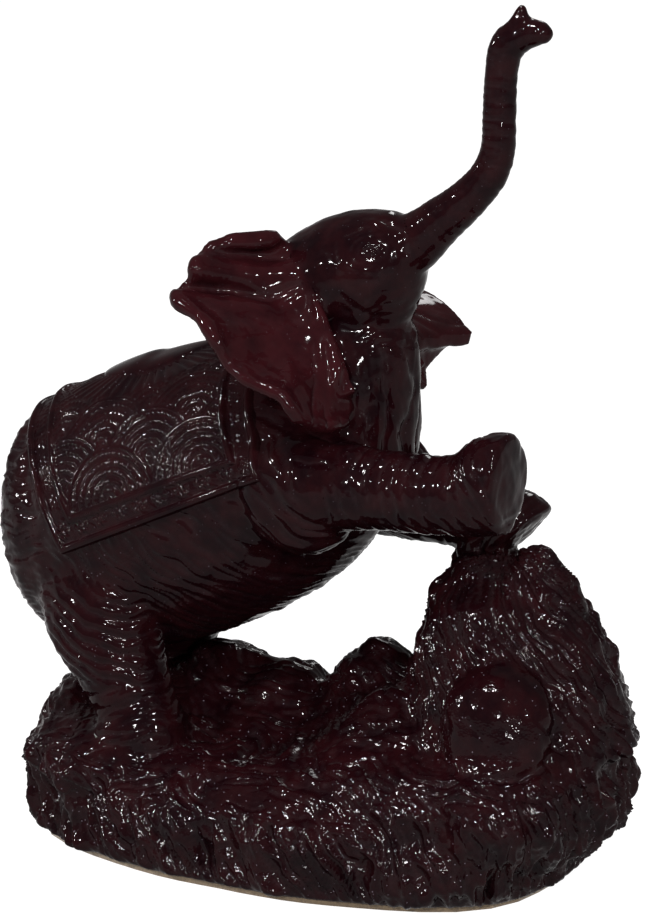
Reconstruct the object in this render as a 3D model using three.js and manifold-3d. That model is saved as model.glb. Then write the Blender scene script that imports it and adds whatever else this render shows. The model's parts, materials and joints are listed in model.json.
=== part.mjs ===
// A figure of an elephant that rears over a rock, with its trunk raised. The figure is an assembly of
// castings: plinth, boulder, torso, head, trunk, ears, four legs and tail, held by steel dowels and glue,
// with a felt pad under the plinth. Millimetres, +Z up, the elephant faces +X, and its left side is at +Y.
import * as THREE from "three";
import { mergeVertices } from "three/addons/utils/BufferGeometryUtils.js";
import Module from "manifold-3d";

const wasm = await Module();
wasm.setup();

// ---- driving dimensions ----
const JOINT_GAP = 0.3; // glue line between two castings
const FELT_THICKNESS = 1.5;
const FELT_INSET = 2.5; // how far the felt stays inside the plinth's foot
const DOWEL_DIAMETER = 3;
const THIN_DOWEL_DIAMETER = 2; // in the trunk
const DOWEL_CLEARANCE = 0.3; // radial
const DOWEL_END_ROOM = 0.6; // past each end of a dowel, for glue

const PLINTH_LENGTH = 182;
const PLINTH_WIDTH = 108;
const PLINTH_HEIGHT = 29; // of the ground, without its mounds
const PLINTH_SKEW = 0.04; // radians
const UNDERCUT = 0.2; // how far the foot of the front wall is drawn in

const BODY_LENGTH = 114; // from the rump's section to the neck's, level
const BODY_RISE = 70; // from the rump's section to the neck's, upwards
const BODY_DEPTH = 80; // back to belly, across the spine
const BODY_WIDTH = 74; // flank to flank
const RUMP_X = -117;
const RUMP_Z = 86;

const CLOTH_THICKNESS = 0.9; // saddle cloth, as it stands proud of the back
const PAD_THICKNESS = 0.9; // saddle pad on the cloth
const PAD_LENGTH = 34; // along the back
const PAD_WIDTH = 44;

const HEAD_DEPTH = 35; // brow to jaw
const HEAD_WIDTH = 35;
const HEAD_LENGTH = 46; // nape to face

const TRUNK_ROOT_DIAMETER = 18;
const TRUNK_TIP_DIAMETER = 9.4;
const TRUNK_RISE = 62.5; // root to lips

const EAR_THICKNESS = 3.2;
const EAR_REACH = 1; // 1 is the full spread of the ear from its root
const EAR_CUP = 7; // how far the middle of the ear is hollowed
const EAR_RUFFLE = 2.6; // waves of the rim

const FORELEG_DIAMETER = 21;
const HINDLEG_DIAMETER = 25;
const FOREFOOT_HEIGHT = 29; // across the raised sole
const FOREFOOT_WIDTH = 25;
const TAIL_DIAMETER = 6;

const FAR = 400; // side of a cutting block

// ---- places that follow from the sizes ----
const bodyX = (share) => RUMP_X + share * BODY_LENGTH;
const bodyZ = (share) => RUMP_Z + share * BODY_RISE;
const flankY = (share) => (share * BODY_WIDTH) / 2;
const NECK_TOP = new THREE.Vector3(bodyX(0.99), 0, bodyZ(1));
const HEAD_AT = new THREE.Vector3(NECK_TOP.x + 2, 0, NECK_TOP.z + 11); // middle of the skull
const TRUNK_AT = new THREE.Vector3(HEAD_AT.x + 0.31 * HEAD_LENGTH, 0, HEAD_AT.z + 0.3 * HEAD_DEPTH);
const SHOULDER = [bodyX(0.92), 0, bodyZ(0.33)];
const HIP = [bodyX(0.36), 0, bodyZ(-0.14)];
const FLOOR_Z = FELT_THICKNESS + JOINT_GAP; // underside of the plinth

// Lines of the forelegs, forwards and upwards from the shoulder, with sizes in leg sizes, then foot sizes.
// The right one is raised with its sole to the front, and the left one steps down onto the boulder.
const FORELEG_LINES = {
  right: {
    leg: [
      [-14, -3, 1.3, 1.9],
      [4, 3, 1.25, 1.42],
      [28, 4, 1, 1.06],
      [48, 4.8, 1.02, 1.04],
      [57, 6.4, 1.06, 1.18],
    ],
    foot: [
      [61.5, 8.6, 0.97, 0.96],
      [65, 9.6, 1, 1],
      [67.5, 9.6, 0.96, 0.95],
    ],
  },
  left: {
    leg: [
      [-14, -4, 1.3, 1.9],
      [4, -8, 1.25, 1.38],
      [22, -12, 1.02, 1.05],
      [35, -12.4, 0.98, 0.98],
    ],
    foot: [
      [41, -13.6, 0.84, 0.74],
      [45.5, -16, 0.92, 0.8],
      [48, -18.2, 0.9, 0.78],
    ],
  },
};


// The knob under the left forefoot, and the boulder that carries it, stand where that leg comes down.
const [STEP_X, STEP_Z] = FORELEG_LINES.left.leg.at(-1);
const PILLAR_X = SHOULDER[0] + STEP_X + 2;
const PILLAR_Y = flankY(0.6);
const PILLAR_TOP_Z = SHOULDER[2] + STEP_Z - 0.45 * (FORELEG_DIAMETER / 2);
const BOULDER_X = PILLAR_X + 17;
const BOULDER_Y = PILLAR_Y - 14;
const BOULDER_TOP_Z = PILLAR_TOP_Z - 3;
const BOULDER_FOOT_Z = FLOOR_Z + PLINTH_HEIGHT + 3;
const PLINTH_X = BOULDER_X + 33.5 - PLINTH_LENGTH / 2; // its front edge runs round the boulder

// ---- solids ----

// A closed three.js geometry as a manifold solid: only positions are kept, and faces with no area are dropped.
function solid(geometry) {
  const bare = (geometry.index ? geometry.toNonIndexed() : geometry).clone();
  Object.keys(bare.attributes)
    .filter((name) => name !== "position")
    .forEach((name) => bare.deleteAttribute(name));
  const merged = mergeVertices(bare, 1e-3);
  const corners = [];
  for (let i = 0; i < merged.index.count; i += 3) {
    const [a, b, c] = merged.index.array.slice(i, i + 3);
    if (a !== b && b !== c && a !== c) corners.push(a, b, c);
  }
  const made = new wasm.Manifold(
    new wasm.Mesh({
      numProp: 3,
      vertProperties: merged.attributes.position.array,
      triVerts: new Uint32Array(corners),
    }),
  );
  return made;
}

// The solid's surface as an indexed three.js geometry.
function surfaceOf(made) {
  const mesh = made.getMesh();
  const points = new Float32Array(mesh.numVert * 3);
  for (let i = 0; i < mesh.numVert; i++) {
    points.set(mesh.vertProperties.subarray(i * mesh.numProp, i * mesh.numProp + 3), i * 3);
  }
  return new THREE.BufferGeometry()
    .setAttribute("position", new THREE.BufferAttribute(points, 3))
    .setIndex(new THREE.BufferAttribute(new Uint32Array(mesh.triVerts), 1));
}

const joined = (solids) => solids.reduce((whole, next) => whole.add(next));

// The solid grown outwards by a gap, so that a neighbour cut by it clears it.
function grown(made, gap = JOINT_GAP * 1.2) {
  const geometry = surfaceOf(made);
  const position = geometry.attributes.position;
  const corner = (i) => new THREE.Vector3().fromBufferAttribute(position, i);
  const faces = Array.from({ length: position.count }, () => []);
  for (let i = 0; i < geometry.index.count; i += 3) {
    const ids = [0, 1, 2].map((k) => geometry.index.array[i + k]);
    const [a, b, c] = ids.map(corner);
    const normal = b.sub(a).cross(c.sub(a));
    if (normal.length() > 1e-9) ids.forEach((id) => faces[id].push(normal));
  }
  for (let i = 0; i < position.count; i++) {
    const mean = faces[i].reduce((sum, n) => sum.add(n), new THREE.Vector3()).normalize();
    const least = Math.min(...faces[i].map((n) => n.clone().normalize().dot(mean)));
    const moved = corner(i).addScaledVector(mean, gap / Math.max(least, 0.5));
    position.setXYZ(i, moved.x, moved.y, moved.z);
  }
  return solid(geometry);
}

// The largest body of a solid: what a cut leaves of a casting, without loose crumbs.
function mainBody(made) {
  const bodies = made.decompose();
  return bodies.reduce((best, next) => (next.volume() > best.volume() ? next : best));
}

const along = (x, y, z) => new THREE.Vector3(x, y, z).normalize();

// Turns a unit direction +Z to the given direction.
const facing = (direction) =>
  new THREE.Quaternion().setFromUnitVectors(new THREE.Vector3(0, 0, 1), direction.clone().normalize());

// A block that fills everything on one side of a plane, on the side that the direction points to.
function halfSpace(at, direction, offset = 0) {
  const block = new THREE.BoxGeometry(FAR, FAR, FAR);
  block.translate(0, 0, FAR / 2 + offset);
  block.applyQuaternion(facing(direction));
  block.translate(...at);
  return solid(block);
}

// Splits a limb at a plane: [the stub before it, the limb past it], with the glue gap between them.
function split(limbSolid, at, direction) {
  const stub = limbSolid.subtract(halfSpace(at, direction, -JOINT_GAP / 2));
  const rest = limbSolid.intersect(halfSpace(at, direction, JOINT_GAP / 2));
  return [stub, rest];
}

// A solid swept along a smooth line through stations {at, wide, high, out}: its section is an oval of those
// half sizes, wide along out (sideways, +Y, unless stated) and high across it. The ends are rounded over
// the shares of the length that round gives.
function swept(stations, { sides = 20, steps = 24, round = [0.08, 0.08] } = {}) {
  const line = new THREE.CatmullRomCurve3(stations.map((s) => new THREE.Vector3(...s.at)));
  const sizes = new THREE.CatmullRomCurve3(stations.map((s) => new THREE.Vector3(s.wide, s.high, 0)));
  const outs = new THREE.CatmullRomCurve3(stations.map((s) => new THREE.Vector3(...(s.out ?? [0, 1, 0]))));
  const tube = new THREE.CylinderGeometry(1, 1, 1, sides, steps);
  const position = tube.attributes.position;
  for (let i = 0; i < position.count; i++) {
    const share = position.getY(i) + 0.5;
    const t = easeToEnds(share, round);
    const along = line.getTangent(t);
    const out = outs.getPoint(t);
    out.addScaledVector(along, -out.dot(along)).normalize();
    const lift = new THREE.Vector3().crossVectors(out, along);
    const size = sizes.getPoint(t).multiplyScalar(endFalloff(t, round));
    const point = line
      .getPoint(t)
      .addScaledVector(out, position.getX(i) * size.x)
      .addScaledVector(lift, position.getZ(i) * size.y);
    position.setXYZ(i, point.x, point.y, point.z);
  }
  return solid(tube);
}

// Rings crowd towards a rounded end, where the section shrinks fastest.
function easeToEnds(share, [start, end]) {
  if (start > 0 && share < 2 * start) return share ** 2 / (2 * start);
  if (end > 0 && share > 1 - 2 * end) return 1 - (1 - share) ** 2 / (2 * end);
  return share;
}

// A quarter-ellipse shrink of the section near a rounded end, which keeps a small flat.
function endFalloff(t, [start, end]) {
  const dome = (depth) => Math.sqrt(Math.max(0.01, 1 - (1 - depth) * (1 - depth)));
  if (start > 0 && t < start) return dome(t / start);
  if (end > 0 && t > 1 - end) return dome((1 - t) / end);
  return 1;
}

// ---- plinth, boulder and felt ----

// Plan outline of the plinth: half size in a direction, a rounded rectangle, a little askew, with a
// wavering edge.
function outlineRadius(angle) {
  const x = Math.abs(Math.cos(angle + PLINTH_SKEW)) / (PLINTH_LENGTH / 2);
  const y = Math.abs(Math.sin(angle + PLINTH_SKEW)) / (PLINTH_WIDTH / 2);
  const round = (x ** 2.6 + y ** 2.6) ** (-1 / 2.6);
  return round * (0.977 + 0.01 * Math.cos(3 * angle + 3.9) + 0.008 * Math.sin(8 * angle + 5.3));
}

// Mounds of the ground: where each stands, how high above the ground and how broad it is.
const MOUNDS = [
  { x: -94, y: 0, rise: 17, spread: 26 },
  { x: -56, y: 14, rise: 22, spread: 19 },
  { x: -34, y: 13, rise: 19, spread: 20 },
  { x: -2, y: 12, rise: 30, spread: 20 },
  { x: 16, y: -6, rise: 24, spread: 24 },
  { x: 42, y: 8, rise: 30, spread: 34 },
];

// Height of the ground on top of the plinth.
function groundAt(x, y) {
  const angle = Math.atan2(y, x - PLINTH_X);
  const edge = Math.hypot(x - PLINTH_X, y) / outlineRadius(angle);
  const rise = MOUNDS.reduce((sum, m) => {
    const away = ((x - m.x) ** 2 + (y - m.y) ** 2) / (m.spread * m.spread);
    return Math.max(sum, m.rise * Math.exp(-away));
  }, 0);
  return FLOOR_Z + PLINTH_HEIGHT + rise - 9 * Math.max(0, edge - 0.72) / 0.28;
}

// The plinth: a revolved profile of unit radius, drawn out to the outline, with the ground as its top.
function plinthSolid() {
  const wall = [
    [0.97, 0],
    [0.985, 0.12],
    [0.985, 0.4],
    [1, 0.7],
    [0.96, 0.96],
  ];
  const rings = 9;
  const profile = [new THREE.Vector2(0, 0), ...wall.map(([r, z]) => new THREE.Vector2(r, z))];
  for (let i = 1; i <= rings; i++) profile.push(new THREE.Vector2(0.96 * (1 - i / rings), 2));
  const lathe = new THREE.LatheGeometry(profile, 48);
  lathe.rotateX(Math.PI / 2);
  const position = lathe.attributes.position;
  for (let i = 0; i < position.count; i++) {
    const angle = Math.atan2(position.getY(i), position.getX(i));
    const drawnIn = 1 - UNDERCUT * Math.max(0, Math.cos(angle)) * Math.max(0, 0.5 - position.getZ(i));
    const reach = Math.hypot(position.getX(i), position.getY(i)) * outlineRadius(angle) * drawnIn;
    const x = PLINTH_X + reach * Math.cos(angle);
    const y = reach * Math.sin(angle);
    const level = position.getZ(i);
    const rimZ = groundAt(x, y) - FLOOR_Z;
    position.setXYZ(i, x, y, FLOOR_Z + (level > 1 ? rimZ : level * rimZ));
  }
  return solid(lathe);
}

// The boulder: a stack of ovals with a peak, a low dome beside it and a knob under the left forefoot.
function boulderSolid() {
  const rise = BOULDER_TOP_Z - BOULDER_FOOT_Z;
  const stage = (share, x, y, long, wide) => ({
    at: [BOULDER_X + x, BOULDER_Y + y, BOULDER_FOOT_Z + share * rise],
    wide,
    high: long,
  });
  const rock = swept(
    [
      stage(0, 2, 0, 33, 33),
      stage(0.3, -0.5, 0, 30, 32),
      stage(0.52, -3, 0, 26.5, 30),
      stage(0.76, -5, 0, 20.5, 25),
      stage(1, -4, 1, 13.5, 17),
    ],
    { sides: 22, steps: 10, round: [0, 0.1] },
  );
  const dome = swept(
    [stage(0, 7, -25, 17, 15), stage(0.3, 7, -25, 16.5, 14.5), stage(0.57, 7, -24, 13, 12)],
    { sides: 16, steps: 8, round: [0, 0.35] },
  );
  const knob = swept(
    [
      { at: [PILLAR_X + 2, PILLAR_Y - 4, BOULDER_TOP_Z - 22], wide: 12, high: 13 },
      { at: [PILLAR_X + 1, PILLAR_Y, BOULDER_TOP_Z - 8], wide: 9, high: 9.5 },
      { at: [PILLAR_X, PILLAR_Y, PILLAR_TOP_Z], wide: 7, high: 7.5 },
    ],
    { sides: 14, steps: 6, round: [0, 0] },
  );
  const peak = swept(
    [
      { at: [BOULDER_X + 5, BOULDER_Y + 1, BOULDER_TOP_Z - 14], wide: 14, high: 14 },
      { at: [BOULDER_X + 5, BOULDER_Y, BOULDER_TOP_Z - 3], wide: 9, high: 8 },
      { at: [BOULDER_X + 5, BOULDER_Y, BOULDER_TOP_Z + 3.5], wide: 3, high: 3.5 },
    ],
    { sides: 12, steps: 6, round: [0, 0] },
  );
  return joined([rock, dome, knob, peak]);
}

// The felt under the plinth follows its foot.
function feltSolid() {
  const shape = new THREE.Shape();
  const steps = 48;
  for (let i = 0; i < steps; i++) {
    const angle = (i / steps) * 2 * Math.PI;
    const drawnIn = 0.97 - (UNDERCUT / 2) * Math.max(0, Math.cos(angle));
    const reach = outlineRadius(angle) * drawnIn - FELT_INSET;
    const place = [PLINTH_X + reach * Math.cos(angle), reach * Math.sin(angle)];
    if (i) shape.lineTo(...place);
    else shape.moveTo(...place);
  }
  return solid(new THREE.ExtrudeGeometry(shape, { depth: FELT_THICKNESS, bevelEnabled: false }));
}

// ---- elephant ----

// The barrel of the body, from the rump along the spine into the neck.
function barrelSolid() {
  const row = (along, rise, depth, width) => ({
    at: [bodyX(along), 0, bodyZ(rise)],
    wide: flankY(width),
    high: (depth * BODY_DEPTH) / 2,
  });
  return swept(
    [
      row(0.005, 0.03, 0.5, 0.42),
      row(0.12, 0.04, 0.83, 0.75),
      row(0.31, 0.05, 0.97, 0.94),
      row(0.53, 0.17, 0.98, 0.99),
      row(0.75, 0.35, 0.92, 0.93),
      row(0.9, 0.57, 0.74, 0.77),
      row(0.965, 0.8, 0.52, 0.52),
      row(0.98, 1.03, 0.44, 0.42),
    ],
    { sides: 24, steps: 24, round: [0.13, 0.04] },
  );
}

// The saddle cloth and the pad on it lie on the barrel as raised layers, and are part of the torso.
function saddleSolid(barrel) {
  const up = along(-BODY_RISE, 0, BODY_LENGTH).multiplyScalar(BODY_DEPTH); // square to the spine
  const corner = (share, rise, lift) => [bodyX(share) + lift * up.x, bodyZ(rise) + lift * up.z];
  const shape = new THREE.Shape();
  shape.moveTo(...corner(0.31, -0.03, 0));
  shape.lineTo(...corner(0.31, -0.03, 1));
  shape.lineTo(...corner(0.85, 0.38, 1));
  shape.lineTo(...corner(0.85, 0.38, 0));
  const prism = new THREE.ExtrudeGeometry(shape, { depth: 2 * BODY_WIDTH, bevelEnabled: false });
  prism.translate(0, 0, -BODY_WIDTH);
  prism.rotateX(Math.PI / 2);
  const cloth = grown(barrel, CLOTH_THICKNESS).intersect(solid(prism));
  const disc = new THREE.CylinderGeometry(PAD_WIDTH / 2, PAD_WIDTH / 2, BODY_DEPTH, 28);
  disc.scale(1, 1, PAD_LENGTH / PAD_WIDTH);
  disc.rotateX(Math.PI / 2);
  disc.rotateZ(Math.PI / 2);
  disc.applyQuaternion(facing(up));
  disc.translate(...new THREE.Vector3(bodyX(0.49), 0, bodyZ(0.14)).addScaledVector(up, 0.5));
  const pad = grown(barrel, CLOTH_THICKNESS + PAD_THICKNESS).intersect(solid(disc));
  return cloth.add(pad);
}

// Skull, cheeks and jaw in one casting.
function headSolid() {
  const row = (along, rise, depth, width) => ({
    at: [HEAD_AT.x + along * HEAD_LENGTH, 0, HEAD_AT.z + rise * HEAD_DEPTH],
    wide: (width * HEAD_WIDTH) / 2,
    high: (depth * HEAD_DEPTH) / 2,
  });
  const skull = swept(
    [
      row(-0.54, -0.4, 0.72, 0.76),
      row(-0.34, -0.14, 0.88, 0.9),
      row(-0.08, -0.02, 1.02, 1.0),
      row(0.16, 0.02, 1.02, 0.9),
      row(0.38, -0.02, 0.7, 0.56),
    ],
    { sides: 20, steps: 18, round: [0.1, 0.16] },
  );
  const jaw = swept(
    [
      row(0.0, -0.06, 0.66, 0.66),
      row(0.13, -0.26, 0.62, 0.58),
      row(0.22, -0.43, 0.36, 0.42),
    ],
    { sides: 14, steps: 8, round: [0.1, 0.2] },
  );
  return joined([skull, jaw]);
}

// The trunk leaves the brow, sweeps forwards, then stands upright, and its lips open at the tip.
function trunkSolid() {
  const row = (x, rise, share) => {
    const size = TRUNK_TIP_DIAMETER + share * (TRUNK_ROOT_DIAMETER - TRUNK_TIP_DIAMETER);
    return { at: [TRUNK_AT.x + x, 0, TRUNK_AT.z + rise * TRUNK_RISE], wide: size / 2, high: size / 2 };
  };
  const tube = swept(
    [
      row(-8, -0.09, 1.1),
      row(1.1, -0.006, 0.84),
      row(8.7, 0.096, 0.46),
      row(15.3, 0.179, 0.28),
      row(20.7, 0.264, 0.16),
      row(24.2, 0.342, 0.09),
      row(26, 0.43, 0.04),
      row(26.4, 0.6, 0),
      row(26.8, 0.76, -0.04),
      row(28.4, 0.88, 0.06),
      row(31.6, 0.95, 0.06),
    ],
    { sides: 14, steps: 28, round: [0, 0.05] },
  );
  const lip = swept(
    [
      row(28.5, 0.88, -0.1),
      { ...row(36, 0.945, 0), wide: 4.4, high: 4 },
      { ...row(42, 0.935, 0), wide: 3, high: 2.6 },
    ],
    { sides: 12, steps: 7, round: [0.1, 0.25] },
  );
  const finger = swept(
    [
      { ...row(30, 0.93, 0), wide: 3.4, high: 3.4 },
      { ...row(32.2, 1.01, 0), wide: 2.4, high: 2.2 },
      { ...row(33, 1.075, 0), wide: 1.6, high: 1.4 },
    ],
    { sides: 10, steps: 6, round: [0.1, 0.25] },
  );
  return joined([tube, lip, finger]);
}

// Root and rims of the ears, from the crease at the top down to the lobe: offsets forwards, outwards from
// the side of the head, and upwards. The left ear is the more folded one.
const EAR_ROOT = [
  [-10.2, -2.5, 3.6],
  [-6, -0.5, -5],
  [-1, 1.5, -13],
  [3.5, 3.5, -21],
  [7, 5, -29],
];
const EAR_RIMS = {
  right: [
    [-18, 1.5, 11.8],
    [-24.5, 5.5, 11],
    [-30.5, 12.5, 10.4],
    [-32.6, 20.5, 6.8],
    [-32, 25, 2],
    [-36, 28.5, -1.4],
    [-24, 31, -6],
    [-18, 33.5, -12.7],
    [-16, 34.5, -17.6],
    [-10.6, 34.5, -22.6],
    [0.5, 32.5, -25.9],
    [3.9, 27.5, -32],
    [7.1, 16.5, -36.6],
    [9, 9.5, -36.6],
  ],
  left: [
    [-18, 1.5, 6],
    [-24, 6, 3],
    [-29, 14, 0],
    [-31, 21, -4],
    [-27, 28, -9],
    [-18, 31, -12],
    [-12, 33, -14],
    [-5, 34, -14],
    [4, 32, -17],
    [13.5, 29, -24.5],
    [7, 25, -25.5],
    [4, 16.5, -32],
    [8, 9.5, -36],
  ],
};

// An ear is a cupped leaf between a root line on the head and a wavering rim. side is -1 for the right ear.
function earSolid(side, rimPoints) {
  const line = (points) =>
    new THREE.CatmullRomCurve3(
      points.map(([x, y, z]) => new THREE.Vector3(HEAD_AT.x + x, side * (HEAD_WIDTH / 2 + y), HEAD_AT.z + z)),
    );
  const root = line(EAR_ROOT);
  const rim = line(rimPoints);
  const place = (u, v) => {
    const from = root.getPoint(v);
    const to = rim.getPoint(v);
    const spread = Math.max(u, 0) * EAR_REACH;
    const point = from.lerp(to, spread);
    const cup = EAR_CUP * Math.sin(Math.PI * Math.min(1, u) * 0.9);
    const ruffle = u * u * EAR_RUFFLE * (Math.sin(v * 17 - 0.6) + 0.3 * Math.sin(v * 31)) * (1 - v ** 6);
    point.y -= side * (cup - ruffle);
    point.x -= 0.5 * cup;
    return point;
  };
  const box = new THREE.BoxGeometry(1, 1, 1, 8, 26, 1);
  const position = box.attributes.position;
  const step = 1e-3;
  for (let i = 0; i < position.count; i++) {
    const u = position.getX(i) + 0.5;
    const v = position.getY(i) + 0.5;
    const inside = (value) => Math.min(Math.max(value, step), 1 - step);
    const [a, b] = [inside(u), inside(v)];
    const du = place(a + step, b).sub(place(a - step, b));
    const dv = place(a, b + step).sub(place(a, b - step));
    const normal = du.cross(dv).normalize();
    const thick = EAR_THICKNESS * (1.25 - 0.45 * u);
    const point = place(u, v).addScaledVector(normal, position.getZ(i) * thick);
    position.setXYZ(i, point.x, point.y, point.z);
  }
  return solid(box);
}

// A foreleg, from inside the shoulder to the sole.
function forelegSolid(side, { leg, foot }) {
  const y = side * flankY(0.68);
  const station = (wide, high) => ([x, z, w, h]) => ({
    at: [SHOULDER[0] + x, x < 0 ? 0.83 * y : y, SHOULDER[2] + z],
    wide: (w * wide) / 2,
    high: (h * high) / 2,
  });
  const shank = leg.map(station(FORELEG_DIAMETER, FORELEG_DIAMETER));
  const hoof = foot.map(station(FOREFOOT_WIDTH, FOREFOOT_HEIGHT));
  return swept([...shank, ...hoof], { sides: 16, steps: 18, round: [0.08, 0.015] });
}

// A hind leg: thigh, knee, shank and a broad foot that stands in the ground at footX, footY.
function hindlegSolid(side, footX, footY) {
  const half = HINDLEG_DIAMETER / 2;
  const [x, , z] = HIP;
  const ground = groundAt(footX, side * footY);
  const down = z - ground;
  return swept(
    [
      { at: [x - 3, side * flankY(0.34), z + 22], wide: half * 1.1, high: half * 1.6 },
      { at: [x + 1, side * flankY(0.5), z], wide: half * 1.3, high: half * 1.75 },
      { at: [x + 3, side * flankY(0.62), z - 0.26 * down], wide: half * 1.18, high: half * 1.5 },
      { at: [x + 0.55 * (footX - x), side * footY, z - 0.5 * down], wide: half * 1.04, high: half * 1.12 },
      { at: [footX - 1, side * footY, z - 0.78 * down], wide: half * 0.92, high: half * 0.94 },
      { at: [footX, side * footY, ground + 4], wide: half * 1.08, high: half * 1.14 },
      { at: [footX + 1, side * footY, ground - 4], wide: half * 1.1, high: half * 1.2 },
    ],
    { sides: 16, steps: 15, round: [0.1, 0] },
  );
}

// The tail hangs to the left, close to the rump, and ends in a tuft.
function tailSolid() {
  const half = TAIL_DIAMETER / 2;
  const row = (x, y, z, size) => ({ at: [RUMP_X + x, y, RUMP_Z + z], wide: half * size, high: half * size });
  return swept(
    [
      row(8, 1, 24, 1.3),
      row(0.5, 4, 19, 1.15),
      row(-2.6, 9, 8, 1),
      row(-2.4, 14, -5, 0.85),
      row(0.5, 18, -17, 0.8),
      row(5, 20, -27, 1.2),
      row(9, 19.5, -35, 0.7),
    ],
    { sides: 8, steps: 18, round: [0.05, 0.08] },
  );
}

// ---- assembly ----
const castings = {};
const dowels = {};

// Bores two castings along a line and puts a steel dowel into the bores.
function pin(name, hosts, at, direction, { before, after, diameter = DOWEL_DIAMETER }) {
  const rod = (radius, room) => {
    const length = before + after + 2 * room;
    const cylinder = new THREE.CylinderGeometry(radius, radius, length, 12);
    cylinder.rotateX(Math.PI / 2);
    cylinder.translate(0, 0, (after - before) / 2);
    cylinder.applyQuaternion(facing(direction));
    cylinder.translate(...at);
    return solid(cylinder);
  };
  const bore = rod(diameter / 2 + DOWEL_CLEARANCE, DOWEL_END_ROOM);
  hosts.forEach((host) => (castings[host] = castings[host].subtract(bore)));
  dowels[name] = rod(diameter / 2, 0);
}

const sides = { right: -1, left: 1 };

const FORELEG_CUT_X = SHOULDER[0] + 16;
const HINDLEG_CUT_SHARE = 0.58; // of the way from the hip down to the ground
const HIND_FOOT = { right: [HIP[0] + 15, flankY(0.68)], left: [HIP[0] - 2, flankY(0.68)] };

castings.boulder = boulderSolid();
castings.plinth = mainBody(plinthSolid().subtract(grown(castings.boulder)));
castings.felt_pad = feltSolid();

const neckAxis = along(0.25, 0, 1);
const neckCut = [NECK_TOP.x - 2, 0, NECK_TOP.z - 3];
const barrel = barrelSolid();
const [neckStub, neckEnd] = split(barrel, neckCut, neckAxis);
castings.torso = neckStub.add(saddleSolid(barrel));
castings.head = mainBody(headSolid().intersect(halfSpace(neckCut, neckAxis, JOINT_GAP / 2)).add(neckEnd));

const trunkAxis = along(0.8, 0, 0.62);
const trunkCut = [TRUNK_AT.x + 3.2, 0, TRUNK_AT.z + 2.6];
const [trunkStub, trunkRest] = split(trunkSolid(), trunkCut, trunkAxis);
castings.head = mainBody(castings.head.subtract(halfSpace(trunkCut, trunkAxis, -JOINT_GAP / 2)).add(trunkStub));
castings.trunk = mainBody(trunkRest.subtract(grown(castings.head)));

const limbs = Object.entries(sides).flatMap(([name, side]) => {
  const fore = forelegSolid(side, FORELEG_LINES[name]);
  const hind = hindlegSolid(side, ...HIND_FOOT[name]);
  const cutZ = HIP[2] - HINDLEG_CUT_SHARE * (HIP[2] - groundAt(HIND_FOOT[name][0], side * HIND_FOOT[name][1]));
  return [
    { name: `foreleg_${name}`, parts: split(fore, [FORELEG_CUT_X, 0, 0], along(1, 0, 0)) },
    { name: `hindleg_${name}`, parts: split(hind, [0, 0, cutZ], along(0, 0, -1)) },
  ];
});
limbs.forEach(({ parts: [stub] }) => (castings.torso = castings.torso.add(stub)));
castings.torso = mainBody(castings.torso.subtract(grown(castings.head)).subtract(grown(castings.boulder)));
castings.torso = mainBody(castings.torso.subtract(grown(castings.plinth)));
const carcass = grown(castings.torso);
limbs.forEach(({ name, parts: [, rest] }) => {
  const standing = rest.subtract(grown(castings.plinth)).subtract(grown(castings.boulder));
  castings[name] = mainBody(standing.subtract(carcass));
});

Object.entries(sides).forEach(([name, side]) => {
  const clear = earSolid(side, EAR_RIMS[name]).subtract(grown(castings.head)).subtract(carcass).subtract(grown(castings.trunk));
  castings[`ear_${name}`] = mainBody(clear);
});
castings.tail = mainBody(tailSolid().subtract(carcass));

// ---- dowels ----
pin("neck_dowel", ["torso", "head"], neckCut, neckAxis, { before: 14, after: 12 });
pin("trunk_dowel", ["head", "trunk"], trunkCut, trunkAxis, { before: 9, after: 7, diameter: THIN_DOWEL_DIAMETER });
Object.entries(sides).forEach(([name, side]) => {
  const [[, above], [, past]] = FORELEG_LINES[name].leg.slice(1, 3);
  const foreAt = [FORELEG_CUT_X, side * flankY(0.68), SHOULDER[2] + (above + past) / 2];
  pin(`foreleg_dowel_${name}`, ["torso", `foreleg_${name}`], foreAt, along(1, 0, 0), { before: 11, after: 10 });
  const [footX, footY] = HIND_FOOT[name];
  const ground = groundAt(footX, side * footY);
  const cutZ = HIP[2] - HINDLEG_CUT_SHARE * (HIP[2] - ground);
  const shank = [HIP[0] + 0.65 * (footX - HIP[0]), side * footY, cutZ];
  pin(`hindleg_dowel_${name}`, ["torso", `hindleg_${name}`], shank, along(0, 0, 1), { before: 8, after: 8 });
  const sole = [footX, side * footY, ground];
  pin(`hind_foot_dowel_${name}`, ["plinth", `hindleg_${name}`], sole, along(0, 0, 1), { before: 12, after: 6 });
});
pin("forefoot_dowel_left", ["boulder", "foreleg_left"], [PILLAR_X, PILLAR_Y, PILLAR_TOP_Z], along(0, 0, 1), {
  before: 12,
  after: 6,
});
[-1, 1].forEach((end, i) =>
  pin(
    `boulder_dowel_${i + 1}`,
    ["plinth", "boulder"],
    [BOULDER_X + end * 14, BOULDER_Y, BOULDER_FOOT_Z],
    along(0, 0, 1),
    { before: 12, after: 12 },
  ),
);

// ---- scene graph ----
const finishes = {
  resin: new THREE.MeshStandardMaterial({ color: 0x3a0c10, roughness: 0.18, metalness: 0 }),
  steel: new THREE.MeshStandardMaterial({ color: 0x9a9da1, roughness: 0.35, metalness: 1 }),
  felt: new THREE.MeshStandardMaterial({ color: 0x5b4636, roughness: 0.95, metalness: 0 }),
};

const figure = new THREE.Group();
const place = (name, made, material) => {
  const mesh = new THREE.Mesh(surfaceOf(made), material);
  mesh.name = name;
  figure.add(mesh);
};
Object.entries(castings).forEach(([name, made]) =>
  place(name, made, name === "felt_pad" ? finishes.felt : finishes.resin),
);
Object.entries(dowels).forEach(([name, made]) => place(name, made, finishes.steel));

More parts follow.
